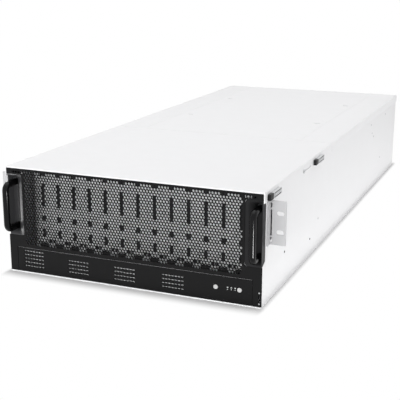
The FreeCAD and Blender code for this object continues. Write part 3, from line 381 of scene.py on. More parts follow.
def object_mode():
    """Leave edit mode, if it is on, and deselect everything."""
    if bpy.context.object and bpy.context.object.mode != "OBJECT":
        leave_edit()
    bpy.ops.object.select_all(action="DESELECT")


def use(piece):
    """Make a piece the only selected and active object."""
    object_mode()
    piece.select_set(True)
    bpy.context.view_layer.objects.active = piece


def settle():
    """Put the selected object's place, turn and scale into its mesh."""
    bpy.ops.object.transform_apply(location=True, rotation=True, scale=True)


def start(add, name, **settings):
    """Add a primitive with nothing else selected, name it and put its place into its mesh."""
    object_mode()
    add(**settings)
    piece = bpy.context.object
    piece.name = name
    piece.data.name = name
    settle()
    return piece


def block(name, corner, opposite):
    """A box between two opposite corners."""
    a, b = Vector(corner), Vector(opposite)
    stretch = [abs(p - q) for p, q in zip(a, b)]
    return start(bpy.ops.mesh.primitive_cube_add, name, size=1, location=(a + b) / 2, scale=stretch)


def rod(name, begin, end, radius, sides=24):
    """A cylinder between two points."""
    a, b = Vector(begin), Vector(end)
    turn = (b - a).to_track_quat("Z", "Y").to_euler()
    return start(bpy.ops.mesh.primitive_cylinder_add, name, vertices=sides, radius=radius,
                 depth=(b - a).length, location=(a + b) / 2, rotation=turn)


def wire(name, points, closed=True):
    """A wire, drawn by extruding one vertex from point to point."""
    piece = start(bpy.ops.mesh.primitive_plane_add, name, size=MM, location=points[0])
    edit(piece)
    bpy.ops.mesh.merge(type="CENTER")
    path = [Vector(p) for p in points] + [Vector(points[0])] * closed
    for here, there in zip(path, path[1:]):
        bpy.ops.mesh.extrude_vertices_move(TRANSFORM_OT_translate={"value": there - here})
    bpy.ops.mesh.select_all(action="SELECT")
    bpy.ops.mesh.remove_doubles(threshold=TOUCH)
    leave_edit()
    return piece


def plate(name, points, depth):
    """A flat outline, filled and extruded by a vector."""
    piece = wire(name, points)
    edit(piece)
    bpy.ops.mesh.edge_face_add()
    extrude(depth)
    outwards(piece)
    return piece


def select_by(kind):
    """Let selections in edit mode go by vertices, edges or polygons."""
    bpy.context.tool_settings.mesh_select_mode = [kind == word for word in ("vertices", "edges", "polygons")]


def edit(piece):
    """Edit mode with the whole piece selected."""
    use(piece)
    select_by("vertices")
    bpy.ops.object.mode_set(mode="EDIT")
    bpy.ops.mesh.select_all(action="SELECT")


def extrude(step):
    """Extrude what is selected by a vector."""
    bpy.ops.mesh.extrude_region_move(TRANSFORM_OT_translate={"value": step})


def outwards(piece):
    """Turn all faces of a closed piece outwards, and leave edit mode."""
    edit(piece)
    bpy.ops.mesh.normals_make_consistent(inside=False)
    leave_edit()


def turn_to_front(skin):
    """Turn all faces of an open skin to the front, and leave edit mode."""
    outwards(skin)
    if sum(face.normal.y * face.area for face in skin.data.polygons) > 0:
        edit(skin)
        bpy.ops.mesh.flip_normals()
        leave_edit()


def pick(piece, kind, test):
    """Edit mode with the vertices, edges or polygons selected that pass a test."""
    use(piece)
    select_by(kind)
    for elements in (piece.data.vertices, piece.data.edges, piece.data.polygons):
        elements.foreach_set("select", [False] * len(elements))
    for element in getattr(piece.data, kind):
        element.select = test(element)
    bpy.ops.object.mode_set(mode="EDIT")


def pick_vertices(piece, test):
    """Edit mode with the vertices selected whose place passes a test."""
    pick(piece, "vertices", lambda vertex: test(vertex.co))


def pick_edges(piece, test):
    """Edit mode with the edges selected whose middle and direction pass a test."""
    def passes(edge):
        a, b = (piece.data.vertices[i].co for i in edge.vertices)
        return test((a + b) / 2, (b - a).normalized())
    pick(piece, "edges", passes)


def pick_faces(piece, test):
    """Edit mode with the faces selected whose middle and normal pass a test."""
    pick(piece, "polygons", lambda face: test(face.center, face.normal))


def along(axis):
    """A test for edges that run along an axis."""
    return lambda middle, direction: abs(direction[axis]) > 0.9


def at(axis, level):
    """A test for edges whose middle lies at a level of an axis."""
    return lambda middle, direction: abs(middle[axis] - level) < TOUCH


def round_edges(piece, radius, segments, test):
    """Bevel the edges of a piece that pass a test."""
    pick_edges(piece, test)
    bpy.ops.mesh.bevel(offset=radius, segments=segments, affect="EDGES", profile=0.5, clamp_overlap=True)
    leave_edit()


def remove_faces(piece, test):
    """Delete the faces of a piece that pass a test."""
    pick_faces(piece, test)
    bpy.ops.mesh.delete(type="FACE")
    leave_edit()


def modify(piece, kind, **settings):
    """Add a modifier to a piece, set it and apply it."""
    use(piece)
    modifier = piece.modifiers.new(kind.title(), kind)
    for key, value in settings.items():
        setattr(modifier, key, value)
    bpy.ops.object.modifier_apply(modifier=modifier.name)


def soften(piece, radius, segments=2):
    """Break all sharp edges of a piece."""
    modify(piece, "BEVEL", width=radius, segments=segments, limit_method="ANGLE",
           angle_limit=math.radians(35), use_clamp_overlap=True)


def thicken(piece, thickness, offset):
    """Give a skin its thickness, inwards for an offset of -1 and outwards for 1."""
    modify(piece, "SOLIDIFY", thickness=thickness, offset=offset, use_even_offset=True)


def repeat(piece, count, step):
    """Repeat a piece along a vector, its copies joined where they meet."""
    modify(piece, "ARRAY", count=count, use_relative_offset=False, use_constant_offset=True,
           constant_offset_displace=step, use_merge_vertices=True, merge_threshold=0.05 * MM)


def cut(piece, cutter):
    """Cut a piece with another, which is used up."""
    modify(piece, "BOOLEAN", operation="DIFFERENCE", object=cutter, solver="EXACT")
    bpy.data.objects.remove(cutter)


def join(pieces, name=None):
    """Join pieces into the first of them, which can get a new name."""
    use(pieces[0])
    for piece in pieces[1:]:
        piece.select_set(True)
    bpy.ops.object.join()
    if name:
        pieces[0].name = name
    return pieces[0]


def copied(piece, name, step=(0, 0, 0)):
    """A copy with its own mesh, moved by a vector."""
    use(piece)
    bpy.ops.object.duplicate()
    copy = bpy.context.object
    copy.name = name
    copy.location = step
    settle()
    return copy


def mirrored(piece, name):
    """A copy on the other side of the body's middle plane."""
    copy = copied(piece, name)
    copy.scale = (-1, 1, 1)
    settle()
    outwards(copy)
    return copy


def softened_node(node, name, radius):
    """A copy of a construction part with its flat faces whole again and its edges broken."""
    piece = bpy.data.objects.new(name, frame["nodes"][node].data.copy())
    bpy.context.scene.collection.objects.link(piece)
    piece.data.name = name
    edit(piece)
    bpy.ops.mesh.remove_doubles(threshold=0.002 * MM)
    bpy.ops.mesh.dissolve_limited(angle_limit=math.radians(0.5))
    leave_edit()
    soften(piece, radius)
    return piece


def middle_of(node):
    """Middle of a construction part's box."""
    low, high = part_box(node)
    return (low + high) / 2


def slot_cutter(name, middle, length, height, depth):
    """A round-ended bar that cuts a slot along X through an upright plate."""
    half = Vector((length / 2, depth / 2, height / 2))
    cutter = block(name, Vector(middle) - half, Vector(middle) + half)
    round_edges(cutter, 0.499 * min(length, height), 5, along(Y))
    return cutter


def finished(piece, body, slot, *nodes, crease=30):
    """Shade a piece, give it its finish and the body it moves with, and hide the parts it stands for."""
    use(piece)
    bpy.ops.object.shade_smooth_by_angle(angle=math.radians(crease))
    piece.data.materials.clear()
    piece.data.materials.append(finish_of(slot))
    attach(piece, body)
    if nodes:
        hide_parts(*nodes)


# Finishes

def new_material(name):
    """A new material and its shader."""
    material = bpy.data.materials.new(name)
    material.use_nodes = True
    return material, material.node_tree.nodes["Principled BSDF"]


def pattern_place(material, stretch):
    """Object coordinates, stretched."""
    nodes, links = material.node_tree.nodes, material.node_tree.links
    coordinates = nodes.new("ShaderNodeTexCoord")
    mapping = nodes.new("ShaderNodeMapping")
    mapping.inputs["Scale"].default_value = stretch
    links.new(coordinates.outputs["Object"], mapping.inputs["Vector"])
    return mapping.outputs["Vector"]


def noise(material, vector, scale, detail):
    """A noise pattern's value."""
    texture = material.node_tree.nodes.new("ShaderNodeTexNoise")
    texture.inputs["Scale"].default_value = scale
    texture.inputs["Detail"].default_value = detail
    material.node_tree.links.new(vector, texture.inputs["Vector"])
    return texture.outputs["Fac"]


def spangle(material, vector, scale):
    """A grey level for each crystal of a plated surface."""
    texture = material.node_tree.nodes.new("ShaderNodeTexVoronoi")
    texture.inputs["Scale"].default_value = scale
    separate = material.node_tree.nodes.new("ShaderNodeSeparateColor")
    material.node_tree.links.new(vector, texture.inputs["Vector"])
    material.node_tree.links.new(texture.outputs["Color"], separate.inputs["Color"])
    return separate.outputs["Red"]


def vary_colour(material, shader, value, base, spread):
    """Base colour that follows a pattern, from darker to lighter by a spread."""
    mix = material.node_tree.nodes.new("ShaderNodeMix")
    mix.data_type = "RGBA"
    mix.inputs["A"].default_value = (*[c * (1 - spread) for c in base], 1)
    mix.inputs["B"].default_value = (*[min(1, c * (1 + spread)) for c in base], 1)
    material.node_tree.links.new(value, mix.inputs["Factor"])
    material.node_tree.links.new(mix.outputs["Result"], shader.inputs["Base Color"])


def vary_roughness(material, shader, value, low, high):
    """Roughness that follows a pattern between two levels."""
    level = material.node_tree.nodes.new("ShaderNodeMapRange")
    level.inputs["From Min"].default_value = 0.25
    level.inputs["From Max"].default_value = 0.75
    level.inputs["To Min"].default_value = low
    level.inputs["To Max"].default_value = high
    material.node_tree.links.new(value, level.inputs["Value"])
    material.node_tree.links.new(level.outputs["Result"], shader.inputs["Roughness"])


def add_bump(material, shader, value, strength, height):
    """Fine relief that follows a pattern."""
    bump = material.node_tree.nodes.new("ShaderNodeBump")
    bump.inputs["Strength"].default_value = strength
    bump.inputs["Distance"].default_value = height
    material.node_tree.links.new(value, bump.inputs["Height"])
    material.node_tree.links.new(bump.outputs["Normal"], shader.inputs["Normal"])


def coat(slot, base, grain, spread, rough, bump, specular, metallic=0.0, clear=0.0, stretch=(1, 1, 1)):
    """A painted, moulded or milled surface: soft mottling, fine grain, and relief from the grain."""
    material, shader = new_material(slot)
    shader.inputs["Metallic"].default_value = metallic
    shader.inputs["Specular IOR Level"].default_value = specular
    shader.inputs["Transmission Weight"].default_value = clear
    vector = pattern_place(material, stretch)
    mottle = noise(material, vector, scale=grain / 40, detail=3)
    fine = noise(material, vector, scale=grain, detail=2)
    vary_colour(material, shader, mottle, base, spread)
    vary_roughness(material, shader, fine, *rough)
    add_bump(material, shader, fine, bump, RELIEF)
    return material


def zinc_steel(base):
    """Plated sheet: crystals of slightly different brightness and gloss."""
    material, shader = new_material("zinc_steel")
    shader.inputs["Metallic"].default_value = 0.15
    vector = pattern_place(material, (1, 1, 1))
    crystals = spangle(material, vector, scale=260)
    fine = noise(material, vector, scale=900, detail=2)
    vary_colour(material, shader, crystals, base, spread=0.07)
    vary_roughness(material, shader, fine, low=0.38, high=0.54)
    add_bump(material, shader, crystals, strength=0.05, height=RELIEF / 2)
    return material


def circuit_board(base):
    """Solder mask over copper tracks, which show as a slightly lighter pattern."""
    material, shader = new_material("circuit_board")
    shader.inputs["Specular IOR Level"].default_value = 0.5
    vector = pattern_place(material, (1, 1, 1))
    tracks = material.node_tree.nodes.new("ShaderNodeTexVoronoi")
    tracks.distance = "MANHATTAN"
    tracks.feature = "F1"
    tracks.inputs["Scale"].default_value = 240
    material.node_tree.links.new(vector, tracks.inputs["Vector"])
    vary_colour(material, shader, tracks.outputs["Distance"], base, spread=0.35)
    vary_roughness(material, shader, noise(material, vector, scale=700, detail=2), low=0.3, high=0.42)
    add_bump(material, shader, tracks.outputs["Distance"], strength=0.2, height=RELIEF)
    return material


PATTERNED = {"zinc_steel": zinc_steel, "circuit_board": circuit_board}


def finish_of(slot):
    """The material of a slot, made when it is first asked for."""
    found = bpy.data.materials.get(slot)
    if found and "server_finish" in found:
        return found
    base = list(getattr(bpy.context.scene.server_colours, slot))
    made = PATTERNED[slot](base) if slot in PATTERNED else coat(slot, base, **COATS[slot])
    made["server_finish"] = True
    return made


# Front

class SERVER_OT_front_panel(bpy.types.Operator):
    """Perforated panel: a honeycomb of holes, filled out to the panel's outline and given its thickness."""
    bl_idname = "server.front_panel"
    bl_label = "Front panel"

    def honeycomb(self, name, columns, rows, middle_z, front_y, sizes):
        """Cells in every second row: one hexagon with its hole inset, repeated along the row and downwards."""
        pitch = sizes.hole_pitch
        first = (-(columns - 1) / 2 * pitch, front_y, middle_z)
        piece = start(bpy.ops.mesh.primitive_circle_add, name, vertices=6, radius=pitch / math.sqrt(3),
                      fill_type="NGON", location=first, rotation=(math.pi / 2, 0, 0))
        pick_faces(piece, lambda middle, normal: True)
        bpy.ops.mesh.inset(thickness=sizes.hole_web / 2)
        leave_edit()
        repeat(piece, columns, (pitch, 0, 0))
        if rows > 1:
            repeat(piece, rows, (0, 0, -pitch * math.sqrt(3)))
        return piece

    def outline(self, low, high, sizes, skin):
        """The panel's outline, notched round the handle pockets and the lower panel."""
        strip_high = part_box("lower_front_panel")[1]
        pocket_low, pocket_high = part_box("right_handle_pocket")
        leg_x = strip_high.x + sizes.seam
        mouth_x = pocket_low.x + skin
        mouth_low = pocket_low.z + skin
        mouth_high = pocket_high.z - skin
        right = [
            (leg_x, strip_high.z + sizes.seam), (leg_x, low.z), (high.x, low.z), (high.x, mouth_low),
            (mouth_x, mouth_low), (mouth_x, mouth_high), (high.x, mouth_high), (high.x, high.z)]
        edge = wire("outline", [(x, low.y, z) for x, z in right + [(-x, z) for x, z in reversed(right)]])
        pick_vertices(edge, lambda p: abs(abs(p.x) - mouth_x) < 0.1 * MM)
        bpy.ops.mesh.bevel(offset=sizes.notch_round, segments=5, affect="VERTICES")
        leave_edit()
        return edge, mouth_x

    def leg_slit(self, low, high, sizes):
        """Outline of the slit in the right leg, with a small screw above and below it."""
        x = high.x - sizes.leg_inset
        half = sizes.leg_slit / 2
        seats = [(x, low.y, sizes.leg_low - 2 * half), (x, low.y, sizes.leg_high + 3 * half)]
        screw_set("leg_screws", seats, (0, -1, 0), sizes.leg_screw, sizes.sheet / 2, "chassis")
        corners = ((x - half, sizes.leg_low), (x + half, sizes.leg_low), (x + half, sizes.leg_high),
                   (x - half, sizes.leg_high))
        return wire("slit", [(a, low.y, z) for a, z in corners])

    def execute(self, context):
        sizes = context.scene.server_front
        skin = context.scene.server_handles.skin
        low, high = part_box("front_grille")
        edge, mouth_x = self.outline(low, high, sizes, skin)
        pitch = sizes.hole_pitch
        row_step = pitch * math.sqrt(3) / 2
        top_z = high.z - sizes.field_drop
        field_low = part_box("lower_front_panel")[1].z + sizes.field_rise + pitch / math.sqrt(3)
        rows = int((top_z - field_low) / row_step) + 1
        columns = int(2 * (mouth_x - sizes.field_margin) / pitch)
        wide = columns + 2 * int((high.x - sizes.wide_margin - columns * pitch / 2) / pitch)
        cells = [
            self.honeycomb("top_row", wide, 1, top_z, low.y, sizes),
            self.honeycomb("odd_rows", columns - 1, rows // 2, top_z - row_step, low.y, sizes),
            self.honeycomb("even_rows", columns, (rows - 1) // 2, top_z - 2 * row_step, low.y, sizes)]
        panel = join([*cells, edge, self.leg_slit(low, high, sizes)], "front_panel")
        edit(panel)
        bpy.ops.mesh.remove_doubles(threshold=0.02 * MM)
        select_by("edges")
        bpy.ops.mesh.select_all(action="DESELECT")
        bpy.ops.mesh.select_non_manifold(extend=False, use_wire=True, use_boundary=True, use_multi_face=False,
                                         use_non_contiguous=False, use_verts=False)
        bpy.ops.mesh.fill(use_beauty=True)
        select_by("polygons")
        bpy.ops.mesh.select_all(action="DESELECT")
        bpy.ops.mesh.select_face_by_sides(number=6, type="EQUAL", extend=False)
        bpy.ops.mesh.delete(type="FACE")
        turn_to_front(panel)
        thicken(panel, sizes.sheet, -1)
        finished(panel, "chassis", "black_paint", "front_grille")
        return {"FINISHED"}


class SERVER_OT_lower_panel(bpy.types.Operator):
    """Lower panel: a strip with rounded edges, vents of short slots, and holes for buttons and lights."""
    bl_idname = "server.lower_panel"
    bl_label = "Lower panel"

    def vents(self, low, sizes):
        """Cutters for the vents: one short slot, repeated along its row and up its vent."""
        reach = 4 * sizes.sheet
        cutters = []
        for i, rows in enumerate(sizes.vent_rows):
            middle = low.x + sizes.vent_inset + i * sizes.vent_pitch
            first = middle - (sizes.dash_count - 1) / 2 * sizes.dash_pitch
            slot = slot_cutter("vent", (first, low.y, sizes.vent_low), sizes.dash, sizes.dash_height, reach)
            repeat(slot, sizes.dash_count, (sizes.dash_pitch, 0, 0))
            repeat(slot, rows, (0, 0, sizes.row_pitch))
            cutters.append(slot)
        return join(cutters)

    def screens(self, low, back, sizes):
        """A plated dust screen behind each vent."""
        face = back + sizes.screen_gap
        half = sizes.dash_count * sizes.dash_pitch / 2 + sizes.edge
        plates = []
        for i, rows in enumerate(sizes.vent_rows):
            middle = low.x + sizes.vent_inset + i * sizes.vent_pitch
            bottom = sizes.vent_low - sizes.row_pitch / 2
            screen = block("screen", (middle - half, face, bottom),
                           (middle + half, face + 0.5 * sizes.sheet, bottom + rows * sizes.row_pitch))
            soften(screen, 0.1 * sizes.sheet)
            plates.append(screen)
        finished(join(plates, "vent_screens"), "chassis", "zinc_steel")

    def execute(self, context):
        sizes = context.scene.server_front
        low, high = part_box("lower_front_panel")
        back = low.y + sizes.sheet
        panel = block("lower_panel", low, (high.x, back, high.z))
        round_edges(panel, sizes.edge, 3, at(Y, low.y))
        cut(panel, self.vents(low, sizes))
        holes = [(*middle_of(node).xz, sizes.button + sizes.button_gap) for node in BUTTONS]
        holes += [(x, z, radius + sizes.light_gap) for x, z, radius in light_places(sizes)]
        reach = 4 * sizes.sheet
        cut(panel, join([rod("hole", (x, low.y - reach, z), (x, low.y + reach, z), radius, 32)
                         for x, z, radius in holes]))
        self.screens(low, back, sizes)
        board_low, board_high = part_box("control_board")
        for x in (board_low.x, board_high.x - sizes.post):
            for z in (board_low.z, board_high.z - sizes.post):
                stand = block("post", (x, back, z), (x + sizes.post, high.y, z + sizes.post))
                panel = join([panel, stand])
        finished(panel, "chassis", "black_paint", "lower_front_panel")
        # A pale strip along the lower panel's top edge: a painted highlight standing in for the light its rounded edge
        # catches
        trim = block("panel_trim", (low.x + sizes.edge, low.y + 0.4 * sizes.sheet, high.z - sizes.trim),
                     (high.x - sizes.edge, back, high.z + sizes.trim))
        soften(trim, sizes.trim / 4)
        finished(trim, "chassis", "ear_steel")
        return {"FINISHED"}


class SERVER_OT_bay_wall(bpy.types.Operator):
    """Slotted wall behind the perforated panel, with a tab pressed out under each gap between its columns."""
    bl_idname = "server.bay_wall"
    bl_label = "Bay wall"

    def execute(self, context):
        sizes = context.scene.server_front
        wall = softened_node("bay_front_wall", "bay_wall", context.scene.server_sheets.broken_edge / 2)
        face_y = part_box("bay_front_wall")[0].y
        first_x = -(sizes.tab_count - 1) / 2 * sizes.column_pitch - sizes.tab / 2
        rise = sizes.tab_high - sizes.tab_low
        profile = ((0, 0), (0.8, 0.1), (1, 0.3), (1, 0.45), (0, 1))
        points = [(first_x, face_y - reach * sizes.tab_reach, sizes.tab_low + level * rise)
                  for reach, level in profile]
        tab = plate("tab", points, Vector((sizes.tab, 0, 0)))
        soften(tab, context.scene.server_sheets.broken_edge)
        repeat(tab, sizes.tab_count, (sizes.column_pitch, 0, 0))
        finished(join([wall, tab]), "chassis", "zinc_steel", "bay_front_wall")
        return {"FINISHED"}


def light_places(sizes):
    """Centre and radius of each status light: three over three, at the corners of their node's box."""
    low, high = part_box("status_light_pipes")
    upper, lower = sizes.light, sizes.light_mark
    left, right = low.x + upper, high.x - upper
    rows = ((high.z - upper, upper), (low.z + lower, lower))
    return [(x, z, radius) for z, radius in rows for x in (left, (left + right) / 2, right)]


class SERVER_OT_buttons(bpy.types.Operator):
    """Two round buttons: a cap with a rounded rim and a shallow dish, a flange and a stem."""
    bl_idname = "server.buttons"
    bl_label = "Buttons"

    def execute(self, context):
        sizes = context.scene.server_front
        face_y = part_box("front_grille")[0].y
        flange_y = face_y + sizes.sheet + sizes.seam
        rim, dish, dip = 0.14 * sizes.button, 0.25 * sizes.button, 0.04 * sizes.button
        for node in BUTTONS:
            low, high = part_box(node)
            x, z = middle_of(node).xz
            cap = rod(node + "_cap", (x, low.y, z), (x, flange_y, z), sizes.button, 40)
            round_edges(cap, rim, 3, at(Y, low.y))
            pick_faces(cap, lambda m, n: n.y < -0.99)
            bpy.ops.mesh.inset(thickness=dish)
            bpy.ops.mesh.inset(thickness=0.4 * dish, depth=-dip)
            stem_y = flange_y + sizes.button_flange
            flange = block("flange", (low.x, flange_y, low.z), (high.x, stem_y, high.z))
            half = sizes.button_stem / 2
            stem = block("stem", (x - half, stem_y, z - half), (x + half, high.y, z + half))
            finished(join([cap, flange, stem]), node, "button_white", node)
        return {"FINISHED"}


class SERVER_OT_status_lights(bpy.types.Operator):
    """Six light pipes with domed ends."""
    bl_idname = "server.status_lights"
    bl_label = "Status lights"

    def execute(self, context):
        low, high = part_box("status_light_pipes")
        pipes = []
        for x, z, radius in light_places(context.scene.server_front):
            pipe = rod("pipe", (x, low.y, z), (x, high.y, z), radius, 20)
            round_edges(pipe, 0.45 * radius, 4, at(Y, low.y))
            pipes.append(pipe)
        finished(join(pipes, "status_lights"), "chassis", "clear_plastic", "status_light_pipes")
        return {"FINISHED"}


class SERVER_OT_handles(bpy.types.Operator):
    """Two bows of round bar, each drawn from foot to foot by extruding and spinning one section."""
    bl_idname = "server.handles"
    bl_label = "Handles"

    def bow(self, x, low, high, sizes):
        """One handle: leg, bend, grip, bend, leg."""
        foot_low = low.z + sizes.bar
        foot_high = high.z - sizes.bar
        bend_y = low.y + sizes.bar + sizes.bend
        grip = Vector((0, 0, foot_high - foot_low - 2 * sizes.bend))
        leg = Vector((0, bend_y - high.y, 0))
        bar = start(bpy.ops.mesh.primitive_circle_add, "handle", vertices=28, radius=sizes.bar,
                    fill_type="NGON", location=(x, high.y, foot_low), rotation=(math.pi / 2, 0, 0))
        edit(bar)
        extrude(leg)
        self.turn(x, bend_y, foot_low + sizes.bend)
        extrude(grip)
        self.turn(x, bend_y, foot_high - sizes.bend)
        extrude(-leg)
        bpy.ops.mesh.select_all(action="SELECT")
        bpy.ops.mesh.remove_doubles(threshold=TOUCH)
        outwards(bar)
        return bar

    def turn(self, x, y, z):
        """Spin the selected section a quarter turn about an axis across the body."""
        bpy.ops.mesh.spin(steps=8, angle=math.pi / 2, center=(x, y, z), axis=(1, 0, 0))

    def execute(self, context):
        sizes = context.scene.server_handles
        low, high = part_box("front_handles")
        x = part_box("right_side_wall")[1].x - sizes.inset
        right = self.bow(x, low, high, sizes)
        handles = join([right, mirrored(right, "left_handle")], "handles")
        finished(handles, "chassis", "black_bar", "front_handles")
        return {"FINISHED"}


class SERVER_OT_handle_pockets(bpy.types.Operator):
    """Hand recess at each side: rings drawn in towards its floor along a rolled edge, and a flat outer wall."""
    bl_idname = "server.handle_pockets"
    bl_label = "Handle pockets"

    def mouth(self, inner_x, outer_x, low_z, high_z, y, radius):
        """The open ring round the recess, from its outer end at the top to its outer end at the bottom."""
        points = [(outer_x, y, high_z)]
        for end, middle_z in ((1, high_z - radius), (-1, low_z + radius)):
            turns = [i / CORNER_STEPS * math.pi / 2 for i in range(CORNER_STEPS + 1)]
            corner = [(inner_x + radius * (1 - math.sin(t)), y, middle_z + end * radius * math.cos(t)) for t in turns]
            points += corner[::end]
        return wire("right_pocket", points + [(outer_x, y, low_z)], closed=False)

    def execute(self, context):
        sizes = context.scene.server_handles
        low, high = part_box("right_handle_pocket")
        outer_x = high.x - sizes.outer_skin
        inner_x = low.x + sizes.skin
        low_z, high_z = low.z + sizes.skin, high.z - sizes.skin
        depth = high.y - sizes.skin - low.y
        pocket = self.mouth(inner_x, outer_x, low_z, high_z, low.y, sizes.rounding)
        edit(pocket)
        pivot = Vector((outer_x, 0, (low_z + high_z) / 2))
        width, height = outer_x - inner_x, (high_z - low_z) / 2
        before = (0, 1, 1)
        for i in range(1, sizes.rings + 1):
            turn = i / sizes.rings * math.pi / 2
            back = depth * (1 - math.cos(turn))
            here = (back, 1 - sizes.roll / width * math.sin(turn), 1 - sizes.ramp / height * math.sin(turn))
            step = Vector((0, back - before[0], 0))
            extrude(step)
            bpy.ops.transform.resize(value=(here[1] / before[1], 1, here[2] / before[2]), center_override=pivot)
            before = here
        bpy.ops.mesh.edge_face_add()
        turn_to_front(pocket)
        thicken(pocket, sizes.skin, -1)
        side = [(low.y, low.z), (high.y, low.z + sizes.ramp), (high.y, high.z - sizes.ramp), (low.y, high.z)]
        wall = plate("outer_wall", [(outer_x, y, z) for y, z in side], Vector((sizes.outer_skin, 0, 0)))
        pocket = join([pocket, wall])
        left = mirrored(pocket, "left_pocket")
        finished(pocket, "chassis", "black_plastic", "right_handle_pocket", crease=40)
        finished(left, "chassis", "black_plastic", "left_handle_pocket", crease=40)
        return {"FINISHED"}


# Body

class SERVER_OT_front_lid(bpy.types.Operator):
    """Sliding lid: a sheet bent down at both sides, hemmed at the front and slotted for its guide studs."""
    bl_idname = "server.front_lid"
    bl_label = "Front lid"

    def execute(self, context):
        sizes = context.scene.server_sheets
        low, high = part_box("front_lid")
        lid = bent_lid("sliding_lid", low, high, sizes, open_back=True)
        hem_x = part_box("chassis_floor")[1].x - sizes.sheet / 3
        hem_top = high.z - sizes.sheet
        hem = block("hem", (-hem_x, low.y, hem_top - 0.75 * sizes.sheet), (hem_x, low.y + sizes.hem, hem_top))
        stud_y, stud_z = middle_of("lid_guide_studs").yz
        half = sizes.guide_slot / 2
        slot = block("slot", (2 * low.x, stud_y - half, stud_z - half),
                     (2 * high.x, stud_y + half + sizes.guide_travel, stud_z + half))
        round_edges(slot, 0.49 * sizes.guide_slot, 5, along(X))
        cut(lid, slot)
        finished(join([lid, hem]), "front_lid", "white_paint", "front_lid")
        return {"FINISHED"}


def bent_lid(name, low, high, sizes, open_back):
    """A sheet bent down along its sides, and at its back unless that is open."""
    lid = block(name, low, high)
    remove_faces(lid, lambda m, n: n.z < -0.99 or n.y < -0.99 or (open_back and n.y > 0.99))

    def folds(middle, direction):
        return middle.z > high.z - TOUCH and middle.y > low.y + MM and (middle.y < high.y - MM or not open_back)
    round_edges(lid, sizes.bend, 4, folds)
    thicken(lid, sizes.sheet, -1)
    return lid


class SERVER_OT_rear_lid(bpy.types.Operator):
    """Fixed lid: a sheet bent down on three sides, with pressed beads, hook slots and a lip under the seam."""
    bl_idname = "server.rear_lid"
    bl_label = "Rear lid"

    def execute(self, context):
        sizes = context.scene.server_sheets
        low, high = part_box("rear_lid")
        seam_y = low.y + sizes.lip
        lid = bent_lid("fixed_lid", Vector((low.x, seam_y, low.z)), high, sizes, open_back=False)
        bead_x = high.x - sizes.bead_inset
        hook_x = high.x - sizes.hook_inset
        half = sizes.bead / 2
        reach = Vector((sizes.hook_length / 2, sizes.hook_width / 2, sizes.bend))
        for side in SIDES.values():
            bead = block("bead", (side * bead_x - half, seam_y + sizes.bead_margin, high.z - sizes.bead_depth),
                         (side * bead_x + half, high.y - sizes.bead_margin, high.z + sizes.bead))
            round_edges(bead, 0.9 * half, 3, along(Z))
            cut(lid, bead)
            for share in HOOK_SHARES:
                middle = Vector((side * hook_x, seam_y + share * (high.y - seam_y), high.z))
                hook = block("hook", middle - reach, middle + reach)
                round_edges(hook, 0.45 * sizes.hook_width, 4, along(Z))
                cut(lid, hook)
        lip_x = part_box("mid_brace")[1].x - sizes.lip_inset
        lip_top = high.z - 1.25 * sizes.sheet
        lip = block("lip", (-lip_x, low.y, lip_top - sizes.sheet), (lip_x, seam_y + 2 * sizes.sheet, lip_top))
        finished(join([lid, lip]), "chassis", "white_paint", "rear_lid")
        return {"FINISHED"}


class SERVER_OT_side_walls(bpy.types.Operator):
    """Side walls with broken edges, a black sheet beside the bay that paints the shade of the closed gap there, and
    the flat screws and rivets that hold the bay.
    """
    bl_idname = "server.side_walls"
    bl_label = "Side walls"

    def execute(self, context):
        fixings = context.scene.server_fixings
        for word, side in SIDES.items():
            node = word + "_side_wall"
            wall = softened_node(node, word + "_wall", context.scene.server_sheets.broken_edge)
            finished(wall, "chassis", "white_paint", node)
            low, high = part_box(node)
            outer_x = high.x if side > 0 else low.x
            seats = [(outer_x, low.y + y, z) for y, z in fixings_on_wall(fixings)]
            for name, some, slot in (("_wall_screws", seats[:WALL_SCREWS], "drive_metal"),
                                     ("_wall_rivets", seats[WALL_SCREWS:], "ear_steel")):
                screw_set(word + name, some, (side, 0, 0), fixings.small_screw, fixings.flat_height, "chassis", slot)
            self.lining(word, side, context.scene.server_sheets)
        return {"FINISHED"}

    def lining(self, word, side, sizes):
        """A black sheet on the wall's inside, between the handle pocket and the bay: painted shade, darkening the gap
        seen through the panel's edge holes, which is dark only from shade.
        """
        pocket_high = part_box(word + "_handle_pocket")[1]
        inner_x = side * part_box("rear_panel")[1].x
        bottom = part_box("lower_front_panel")[1].z
        sheet = block(word + "_lining", (inner_x, pocket_high.y, bottom),
                      (inner_x - side * sizes.lining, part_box("bay_front_wall")[0].y, pocket_high.z))
        soften(sheet, sizes.lining / 4)
        finished(sheet, "chassis", "black_paint")


def fixings_on_wall(fixings):
    """Distance from the front and height of each screw and rivet in a side wall."""
    low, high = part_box("right_side_wall")
    return [(share * (high.y - low.y), getattr(fixings, level) - drop * MM) for share, level, drop in WALL_FIXINGS]


